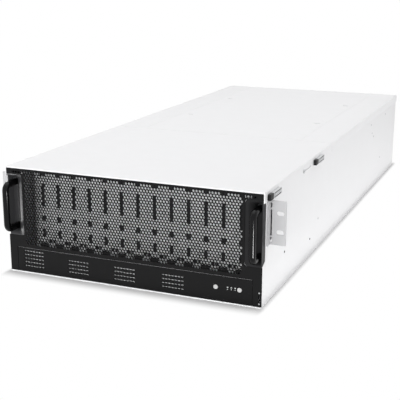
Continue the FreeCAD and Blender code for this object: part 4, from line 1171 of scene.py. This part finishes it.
class SERVER_OT_rack_ears(bpy.types.Operator):
    """Rack ears: a bent bracket with two round-ended slots, and relief cuts along its bend."""
    bl_idname = "server.rack_ears"
    bl_label = "Rack ears"

    def execute(self, context):
        sizes = context.scene.server_sheets
        low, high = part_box("right_rack_ear")
        sheet = sizes.ear_sheet
        plate_y = high.y - sheet
        points = [(low.x, low.y), (low.x + sheet, low.y), (low.x + sheet, plate_y), (high.x, plate_y),
                  (high.x, high.y), (low.x, high.y)]
        ear = plate("right_ear", [(x, y, low.z) for x, y in points], Vector((0, 0, high.z - low.z)))
        bend = Vector((low.x, high.y))
        round_edges(ear, 0.9 * sheet, 4, lambda m, d: abs(d.z) > 0.9 and (m.xy - bend).length < 0.1 * MM)
        round_edges(ear, 0.6 * sheet, 3, lambda m, d: abs(d.y) > 0.9 and m.x > high.x - 0.1 * MM)
        middle_z = (low.z + high.z) / 2
        slot_x = high.x - sizes.ear_slot_inset
        for step in (-0.5, 0.5):
            z = middle_z + step * sizes.ear_slot_pitch
            cut(ear, slot_cutter("slot", (slot_x, plate_y, z), sizes.ear_slot, sizes.ear_slot_height, 6 * sheet))
        bend_x = low.x + sheet
        bridges = [middle_z + step * sizes.ear_bridge_pitch for step in (-0.5, 0.5)]
        bottoms = [low.z + sizes.ear_slit_end, *[z + sizes.ear_bridge / 2 for z in bridges]]
        tops = [*[z - sizes.ear_bridge / 2 for z in bridges], high.z - sizes.ear_slit_end]
        for bottom, top in zip(bottoms, tops):
            cut(ear, block("slit", (bend_x, plate_y - sheet, bottom), (bend_x + sizes.ear_slit, high.y + sheet, top)))
        left = mirrored(ear, "left_ear")
        finished(ear, "chassis", "ear_steel", "right_rack_ear")
        finished(left, "chassis", "ear_steel", "left_rack_ear")
        return {"FINISHED"}


# Fixings

class SERVER_OT_latches(bpy.types.Operator):
    """Slide latches: a folded housing with a grooved tongue and a slider with a grooved head, four times."""
    bl_idname = "server.latches"
    bl_label = "Latches"

    def housing(self, low, high, skirt_x, sizes):
        """A box open to the front and to the skirt, with a grooved spring tongue slit free in its face."""
        front = low.y + sizes.latch_head
        back = high.y + sizes.latch_skin + sizes.latch_gap
        shell = block("housing", (skirt_x, front, low.z), (high.x, back, high.z))
        round_edges(shell, sizes.latch_skin, 3, lambda m, d: m.x > high.x - TOUCH and m.y > front + MM)
        hollow = block("hollow", (skirt_x - MM, front - MM, low.z + sizes.latch_skin),
                       (high.x - sizes.latch_skin, back - sizes.latch_skin, high.z - sizes.latch_skin))
        cut(shell, hollow)
        slit, rim = sizes.tongue_slit, sizes.tongue_rim
        begin, end = front + sizes.tongue_margin, back - sizes.tongue_margin
        bottom, top = low.z + rim, high.z - rim
        inner = high.x - 1.5 * sizes.latch_skin
        for y0, y1, z0, z1 in ((begin, end, bottom, bottom + slit), (begin, end, top - slit, top),
                               (begin, begin + slit, bottom, top)):
            cut(shell, block("slit", (inner, y0, z0), (high.x + MM, y1, z1)))
        step = (end - begin - slit) / sizes.tongue_grooves
        groove_y = begin + slit + (step - sizes.tongue_groove) / 2
        groove = block("groove", (high.x - 0.8 * sizes.latch_skin, groove_y, bottom + 1.4 * slit),
                       (high.x + MM, groove_y + sizes.tongue_groove, top - 1.4 * slit))
        repeat(groove, sizes.tongue_grooves, (0, step, 0))
        cut(shell, groove)
        return shell

    def slider(self, low, high, sizes):
        """A grooved head, and a shank that shows through the housing's slits."""
        head_back = low.y + sizes.latch_head - sizes.latch_gap
        inner = sizes.latch_skin + sizes.latch_gap
        head = block("head", low, (high.x, head_back, high.z))
        soften(head, HEAD_EDGE, 3)
        bite = 0.5 * MM
        for share in (0.25, 0.5, 0.75):
            y = low.y + share * (head_back - low.y)
            cut(head, block("groove", (high.x - bite, y - bite, low.z + MM), (high.x + MM, y + bite, high.z - MM)))
        shank = block("shank", (low.x, head_back, low.z + inner), (high.x - inner, high.y, high.z - inner))
        return join([head, shank])

    def execute(self, context):
        sizes = context.scene.server_fixings
        skirt_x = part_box("front_lid")[1].x
        low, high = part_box("front_right_latch_slider")
        step = Vector((0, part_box("back_right_latch_slider")[0].y - low.y, 0))
        housing = self.housing(low, high, skirt_x, sizes)
        slider = self.slider(low, high, sizes)
        pair = join([housing, copied(housing, "housing_back", step)])
        housings = join([pair, mirrored(pair, "housings_left")], "latch_shells")
        finished(housings, "front_lid", "port_metal", "latch_housings")
        sliders = {"front_right": slider, "back_right": copied(slider, "slider", step)}
        for end in ENDS:
            sliders[end + "_left"] = mirrored(sliders[end + "_right"], "slider")
        for word, piece in sliders.items():
            piece.name = word + "_slider"
            finished(piece, word + "_latch_slider", "black_plastic", word + "_latch_slider")
        return {"FINISHED"}


def screw_head(name, radius, height):
    """A domed screw head with a cross recess, standing on its seat at the origin and facing +Z."""
    head = rod(name, (0, 0, 0), (0, 0, height), radius, 16)
    round_edges(head, 0.45 * height, 2, lambda m, d: m.z > 0.99 * height)
    long, short = 0.55 * radius, 0.14 * radius
    for x, y in ((long, short), (short, long)):
        cut(head, block("recess", (-x, -y, 0.4 * height), (x, y, 2 * height)))
    return head


def screw_set(name, seats, direction, radius, height, body, slot="port_metal"):
    """Screw heads at several seats, all facing one way, joined into one piece."""
    head = screw_head(name, radius, height)
    turn = Vector(direction).to_track_quat("Z", "Y").to_euler()
    heads = []
    for seat in seats:
        copy = copied(head, "head")
        copy.rotation_euler = turn
        copy.location = seat
        settle()
        heads.append(copy)
    bpy.data.objects.remove(head)
    finished(join(heads, name), body, slot)


class SERVER_OT_guide_studs(bpy.types.Operator):
    """Bright studs that guide the front lid: a round head with a hexagonal recess on a plain pin."""
    bl_idname = "server.guide_studs"
    bl_label = "Guide studs"

    def execute(self, context):
        sizes = context.scene.server_fixings
        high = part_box("lid_guide_studs")[1]
        wall_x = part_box("right_side_wall")[1].x
        y, z = middle_of("lid_guide_studs").yz
        neck_x = high.x - sizes.stud_head
        head = rod("stud_head", (neck_x, y, z), (high.x, y, z), sizes.stud, 28)
        round_edges(head, HEAD_EDGE, 3, at(X, high.x))
        cut(head, rod("recess", (high.x - MM, y, z), (high.x + MM, y, z), 0.5 * sizes.stud, 6))
        pin = rod("stud_pin", (wall_x, y, z), (neck_x, y, z), 0.58 * sizes.stud, 20)
        stud = join([head, pin])
        studs = join([stud, mirrored(stud, "left_stud")], "guide_studs")
        finished(studs, "chassis", "port_metal", "lid_guide_studs")
        return {"FINISHED"}


# Rear

class SERVER_OT_rear_panel(bpy.types.Operator):
    """Rear panel with broken edges, the ports' shields and the screws that hold panel and lid."""
    bl_idname = "server.rear_panel"
    bl_label = "Rear panel"

    def tongues(self, sizes):
        """The moulded tongue in each port, standing on the port's floor."""
        low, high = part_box("rear_ports")
        x = sizes.port_first
        floor_y = high.y - sizes.port_depth
        tongues = []
        for width, height in PORT_SIZES:
            wide, tall = width * MM, height * MM
            middle_z, half = low.z + tall / 2, sizes.port_tongue * tall / 2
            tongue = block("tongue", (x + sizes.port_gap, floor_y, middle_z - half),
                           (x + wide - sizes.port_gap, high.y - sizes.tongue_inset, middle_z + half))
            soften(tongue, MOULDED_EDGE)
            tongues.append(tongue)
            x += wide + sizes.port_spacing
        finished(join(tongues, "port_tongues"), "chassis", "connector_plastic")

    def execute(self, context):
        edge = context.scene.server_sheets.broken_edge
        fixings = context.scene.server_fixings
        panel = softened_node("rear_panel", "back_panel", edge)
        finished(panel, "chassis", "white_paint", "rear_panel")
        ports = softened_node("rear_ports", "port_shields", edge / 2)
        finished(ports, "chassis", "port_metal", "rear_ports")
        self.tongues(context.scene.server_rear)
        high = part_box("rear_panel")[1]
        x = high.x - fixings.panel_inset
        seats = [(side * x, high.y, z * MM) for side in SIDES.values() for z in PANEL_SCREWS]
        seats.append((x, high.y, LOW_PANEL_SCREW * MM))
        screw_set("panel_screws", seats, (0, 1, 0), fixings.screw, fixings.screw_height, "chassis")
        lid_y, lid_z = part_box("rear_lid")[1].y, middle_of("rear_lid").z
        seats = [(x * MM, lid_y, lid_z) for x in LID_SCREWS]
        screw_set("lid_screws", seats, (0, 1, 0), fixings.screw, fixings.screw_height, "chassis")
        return {"FINISHED"}


class SERVER_OT_expansion_cards(bpy.types.Operator):
    """Adapter cards: the boards with their heat sinks, and bright brackets with two sockets and a row of air slots."""
    bl_idname = "server.expansion_cards"
    bl_label = "Expansion cards"

    def bracket(self, low, high, sizes):
        """The first card's bracket, with the sockets' shields behind it."""
        front = high.y - sizes.bracket_sheet
        sheet = block("bracket", (low.x, front, low.z), (low.x + sizes.bracket, high.y, high.z))
        left, right = low.x + sizes.socket_side, low.x + sizes.socket_side + sizes.socket_width
        shields = []
        for i in range(2):
            z = low.z + sizes.socket_first + i * sizes.socket_pitch
            mouth = (left, high.y - sizes.socket_depth, z), (right, high.y + MM, z + sizes.socket_height)
            rim = Vector((1, 1, 1)) * sizes.socket_wall
            shield = block("shield", Vector(mouth[0]) - rim, (right + rim.x, front, z + sizes.socket_height + rim.z))
            cut(shield, block("mouth", *mouth))
            cut(sheet, block("mouth", *mouth))
            shields.append(shield)
        z = low.z + sizes.socket_first + 2 * sizes.socket_pitch + sizes.air_slot
        slot = block("air", (left, front - MM, z), (right, high.y + MM, z + sizes.air_slot))
        repeat(slot, sizes.air_slots, (0, 0, sizes.air_pitch))
        cut(sheet, slot)
        soften(sheet, BRACKET_EDGE)
        return join([sheet, *shields])

    def contacts(self, low, high, sizes):
        """The moulded insert on the floor of each of the first card's sockets."""
        floor_y = high.y - sizes.socket_depth
        left = low.x + sizes.socket_side
        inserts = []
        for i in range(2):
            z = low.z + sizes.socket_first + i * sizes.socket_pitch
            insert = block("insert", (left + sizes.insert_gap, floor_y, z + sizes.insert_gap),
                           (left + sizes.insert * sizes.socket_width, high.y - sizes.insert_inset,
                            z + sizes.socket_height - sizes.insert_gap))
            soften(insert, INSERT_EDGE)
            inserts.append(insert)
        return join(inserts)

    def execute(self, context):
        sizes = context.scene.server_rear
        low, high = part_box("expansion_cards")
        step = Vector((high.x - sizes.bracket - low.x, 0, 0))
        rear = high.y - sizes.bracket_sheet
        near = 0.005 * MM
        boards = softened_node("expansion_cards", "card_boards", BOARD_EDGE)
        remove_faces(boards, lambda m, n: m.y > rear + near or (m.y > rear - near and n.y < -0.5))
        finished(boards, "chassis", "circuit_board", "expansion_cards")
        for name, maker, slot in (("card_brackets", self.bracket, "port_metal"),
                                  ("card_contacts", self.contacts, "connector_plastic")):
            piece = maker(low, high, sizes)
            pair = join([piece, copied(piece, "second", step)], name)
            finished(pair, "chassis", slot, "expansion_cards")
        return {"FINISHED"}


class SERVER_OT_power_supplies(bpy.types.Operator):
    """Power supplies with a pinned mains inlet, a fan behind its guard, a pull handle and a release tab."""
    bl_idname = "server.power_supplies"
    bl_label = "Power supplies"

    def case(self, low, high, sizes):
        """The first supply's case, cut open for the inlet, the fan and the tab."""
        case = block("supply_case", low, high)
        soften(case, sizes.case_edge)
        middle, guard_x = self.middles(low, high, sizes)
        reach = Vector((sizes.inlet_width / 2, 0, sizes.inlet_height / 2))
        floor_y = high.y - sizes.inlet_depth
        corner = Vector((middle.x, floor_y, middle.z))
        cut(case, block("inlet", corner - reach, Vector((middle.x, high.y + MM, middle.z)) + reach))
        half = sizes.guard / 2
        opening = block("opening", (guard_x - half, high.y - sizes.guard_depth, middle.z - half),
                        (guard_x + half, high.y + MM, middle.z + half))
        round_edges(opening, sizes.guard_round, 4, along(Y))
        cut(case, opening)
        tab_low, tab_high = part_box("supply_release_1")
        gap = sizes.release_gap
        cut(case, block("slot", (tab_low.x - gap - sizes.release_travel, tab_low.y - gap, tab_low.z - gap),
                        (tab_low.x + sizes.release + gap, high.y + MM, tab_high.z + gap)))
        pins = []
        for x, z in ((-sizes.pin_spread, sizes.pin_drop), (sizes.pin_spread, sizes.pin_drop), (0, sizes.pin_rise)):
            spot = corner + Vector((x, 0, z))
            grow = Vector((sizes.pin_thickness / 2, 0, sizes.pin_height / 2))
            pin = block("pin", spot - grow, spot + grow + Vector((0, sizes.pin_length, 0)))
            soften(pin, MOULDED_EDGE)
            pins.append(pin)
        radius = sizes.guard_wire / 2
        wires = []
        for i in range(sizes.guard_wires):
            offset = (i + 1) * sizes.guard / (sizes.guard_wires + 1) - half
            wires.append(rod("wire", (guard_x - half, high.y - radius, middle.z + offset),
                             (guard_x + half, high.y - radius, middle.z + offset), radius, 12))
        return join([case, *pins, *wires])

    def middles(self, low, high, sizes):
        """Middle of the first supply's inlet, and its fan's place across."""
        middle = Vector((high.x - sizes.inlet_inset, high.y, (low.z + high.z) / 2))
        return middle, low.x + sizes.guard_inset

    def inlet(self, low, high, sizes):
        """The moulded wall that lines the first supply's inlet."""
        middle = self.middles(low, high, sizes)[0]
        reach = Vector((sizes.inlet_width / 2, 0, sizes.inlet_height / 2))
        wall = Vector((sizes.inlet_wall, 0, sizes.inlet_wall))
        back = Vector((0, sizes.inlet_depth - MM, 0))
        liner = block("liner", middle - reach - back, middle + reach + Vector((0, MM, 0)))
        hollow = block("hollow", middle - reach + wall - 2 * back, middle + reach - wall + Vector((0, 2 * MM, 0)))
        round_edges(hollow, sizes.inlet_round, 3, along(Y))
        cut(liner, hollow)
        soften(liner, INSERT_EDGE)
        return liner

    def fan(self, low, high, sizes):
        """The first supply's fan: a hub and tilted blades behind the guard."""
        middle, guard_x = self.middles(low, high, sizes)
        back = high.y - sizes.guard_depth
        hub = rod("hub", (guard_x, back, middle.z), (guard_x, high.y - sizes.hub_inset, middle.z), sizes.fan_hub, 32)
        soften(hub, HEAD_EDGE, 3)
        root, tip = 0.9 * sizes.fan_hub, 0.47 * sizes.guard
        blade = block("blade", (root, -sizes.blade / 2, -sizes.blade_width / 2),
                      (tip, sizes.blade / 2, sizes.blade_width / 2))
        blade.rotation_euler.x = sizes.blade_tilt
        use(blade)
        settle()
        blades = []
        for i in range(sizes.fan_blades):
            copy = copied(blade, "blade")
            copy.rotation_euler.y = 2 * math.pi * i / sizes.fan_blades
            copy.location = (guard_x, high.y - sizes.blade_inset, middle.z)
            settle()
            blades.append(copy)
        bpy.data.objects.remove(blade)
        return join([hub, *blades])

    def execute(self, context):
        edge = context.scene.server_sheets.broken_edge
        sizes = context.scene.server_rear
        low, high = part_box("power_supply_1")
        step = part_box("power_supply_2")[0] - low
        for name, maker, slot, nodes in (("supply_case", self.case, "port_metal", True),
                                         ("supply_inlet", self.inlet, "connector_plastic", False),
                                         ("supply_fan", self.fan, "fan_plastic", False)):
            first = maker(low, high, sizes)
            first.name = name + "_1"
            for i, piece in ((2, copied(first, name + "_2", step)), (1, first)):
                finished(piece, f"power_supply_{i}", slot, *[f"power_supply_{i}"] * nodes)
        for i in (1, 2):
            handle = softened_node(f"supply_handle_{i}", f"supply_bow_{i}", 4 * edge)
            finished(handle, f"power_supply_{i}", "black_plastic", f"supply_handle_{i}")
            release = softened_node(f"supply_release_{i}", f"supply_tab_{i}", 2 * edge)
            finished(release, f"supply_release_{i}", "release_plastic", f"supply_release_{i}")
        return {"FINISHED"}


class SERVER_OT_construction(bpy.types.Operator):
    """Finishes on the construction's own parts, by the record's material slots."""
    bl_idname = "server.construction"
    bl_label = "Construction finishes"

    def execute(self, context):
        for part in frame["record"]["subparts"]:
            node = frame["nodes"][part["node"]]
            node.data.materials.clear()
            node.data.materials.append(finish_of(part["material_slot"]))
        return {"FINISHED"}


# Stage

def seen_directly(nodes, links):
    """1 for camera, glossy and transmission rays, which see the background, and 0 for the rest."""
    path = nodes.new("ShaderNodeLightPath")
    value = path.outputs["Is Camera Ray"]
    for name in ("Is Glossy Ray", "Is Transmission Ray"):
        either = nodes.new("ShaderNodeMath")
        either.operation = "MAXIMUM"
        links.new(value, either.inputs[0])
        links.new(path.outputs[name], either.inputs[1])
        value = either.outputs["Value"]
    return value


class SERVER_OT_stage(bpy.types.Operator):
    """White floor and background, soft lamps and the camera."""
    bl_idname = "server.stage"
    bl_label = "Stage"

    def floor(self, stage):
        """A pale floor that keeps the shadow and fades into the white background. Within the fade of the object's
        footprint, narrower at its sides, the floor stays grey even where lit: painted shade round the real shadow.
        """
        floor = start(bpy.ops.mesh.primitive_plane_add, "floor", size=stage.floor)
        material = bpy.data.materials.new("floor")
        material.use_nodes = True
        nodes, links = material.node_tree.nodes, material.node_tree.links
        nodes.clear()
        distance = nodes.new("ShaderNodeTexCoord").outputs["Object"]
        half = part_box("right_side_wall")[1]
        for operation, value in (("ABSOLUTE", None), ("SUBTRACT", half), ("MAXIMUM", Vector()),
                                 ("MULTIPLY", Vector((stage.squeeze, 1, 1))), ("LENGTH", None)):
            step = nodes.new("ShaderNodeVectorMath")
            step.operation = operation
            if value is not None:
                step.inputs[1].default_value = value
            links.new(distance, step.inputs[0])
            distance = step.outputs["Value" if operation == "LENGTH" else "Vector"]
        fade = nodes.new("ShaderNodeMapRange")
        fade.interpolation_type = "SMOOTHSTEP"
        fade.inputs["From Max"].default_value = stage.fade
        share = nodes.new("ShaderNodeMath")
        share.operation = "MULTIPLY"
        emission = nodes.new("ShaderNodeEmission")
        diffuse = nodes.new("ShaderNodeBsdfDiffuse")
        diffuse.inputs["Color"].default_value = (*stage.floor_colour, 1)
        total = nodes.new("ShaderNodeMixShader")
        output = nodes.new("ShaderNodeOutputMaterial")
        links.new(distance, fade.inputs["Value"])
        links.new(fade.outputs["Result"], share.inputs[0])
        links.new(seen_directly(nodes, links), share.inputs[1])
        links.new(share.outputs["Value"], total.inputs[0])
        links.new(diffuse.outputs["BSDF"], total.inputs[1])
        links.new(emission.outputs["Emission"], total.inputs[2])
        links.new(total.outputs["Shader"], output.inputs["Surface"])
        floor.data.materials.append(material)

    def world(self, stage):
        """White background for what sees it directly, soft light for the rest."""
        world = bpy.data.worlds.new("studio")
        bpy.context.scene.world = world
        world.use_nodes = True
        nodes, links = world.node_tree.nodes, world.node_tree.links
        background = nodes["Background"]
        background.inputs["Color"].default_value = (1, 1, 1, 1)
        level = nodes.new("ShaderNodeMapRange")
        level.inputs["To Min"].default_value = stage.ambient
        level.inputs["To Max"].default_value = 1.0
        links.new(seen_directly(nodes, links), level.inputs["Value"])
        links.new(level.outputs["Result"], background.inputs["Strength"])

    def lamp(self, power, name, position, target, width, height, matte=True, gloss=True, only_on=None):
        """A soft lamp aimed at a point, for surfaces, reflections or both, on all pieces or only on one."""
        object_mode()
        turn = (Vector(position) - Vector(target)).to_track_quat("Z", "Y").to_euler()
        bpy.ops.object.light_add(type="AREA", location=position, rotation=turn)
        lamp = bpy.context.object
        lamp.name = name + "_lamp"
        lamp.data.shape = "RECTANGLE"
        lamp.data.size = width
        lamp.data.size_y = height
        lamp.data.energy = power
        lamp.visible_camera = False
        lamp.visible_diffuse = matte
        lamp.visible_glossy = gloss
        if only_on:
            receivers = bpy.data.collections.new(lamp.name)
            receivers.objects.link(bpy.data.objects[only_on])
            lamp.light_linking.receiver_collection = receivers

    def execute(self, context):
        stage = context.scene.server_stage
        self.floor(stage)
        self.world(stage)
        for lamp in LAMPS:
            self.lamp(getattr(stage, lamp["name"] + "_power"), **lamp)
        object_mode()
        bpy.ops.object.camera_add()
        camera = bpy.context.object
        turn = Matrix.Rotation(stage.azimuth, 4, "Z") @ Matrix.Rotation(math.pi / 2 - stage.elevation, 4, "X")
        camera.matrix_world = Matrix.Translation(stage.camera) @ turn @ Matrix.Rotation(stage.roll, 4, "Z")
        camera.data.lens = stage.lens
        camera.data.clip_end = 50
        context.scene.camera = camera
        context.scene.view_settings.view_transform = "Standard"
        return {"FINISHED"}


class SERVER_PT_panel(bpy.types.Panel):
    """Lists the operators and the sizes in the 3D view's sidebar."""
    bl_idname = "SERVER_PT_panel"
    bl_label = "Storage Server"
    bl_space_type = "VIEW_3D"
    bl_region_type = "UI"
    bl_category = "Server"

    def draw(self, context):
        for operator in OPERATORS:
            self.layout.operator(operator.bl_idname)
        for name, group in GROUPS.items():
            box = self.layout.box()
            box.label(text=group.__doc__)
            for key in group.__annotations__:
                box.prop(getattr(context.scene, name), key)


GROUPS = {
    "server_front": ServerFrontSizes,
    "server_handles": ServerHandleSizes,
    "server_sheets": ServerSheetSizes,
    "server_fixings": ServerFixingSizes,
    "server_rear": ServerRearSizes,
    "server_colours": ServerColours,
    "server_stage": ServerStage,
}
OPERATORS = (
    SERVER_OT_construction, SERVER_OT_front_panel, SERVER_OT_lower_panel, SERVER_OT_bay_wall,
    SERVER_OT_buttons, SERVER_OT_status_lights, SERVER_OT_handles, SERVER_OT_handle_pockets, SERVER_OT_front_lid,
    SERVER_OT_rear_lid, SERVER_OT_side_walls, SERVER_OT_rack_ears, SERVER_OT_latches, SERVER_OT_guide_studs,
    SERVER_OT_rear_panel, SERVER_OT_expansion_cards, SERVER_OT_power_supplies, SERVER_OT_stage)


def register():
    """Register the classes and give the scene its settings."""
    for cls in (*GROUPS.values(), *OPERATORS, SERVER_PT_panel):
        bpy.utils.register_class(cls)
    for name, group in GROUPS.items():
        setattr(bpy.types.Scene, name, bpy.props.PointerProperty(type=group))


def unregister():
    """Take the settings and the classes away again."""
    for name in GROUPS:
        delattr(bpy.types.Scene, name)
    for cls in reversed((*GROUPS.values(), *OPERATORS, SERVER_PT_panel)):
        bpy.utils.unregister_class(cls)


def main():
    """Register and run the operators in order."""
    register()
    for operator in OPERATORS:
        category, name = operator.bl_idname.split(".")
        getattr(getattr(bpy.ops, category), name)()
    object_mode()


if __name__ == "__main__":
    main()
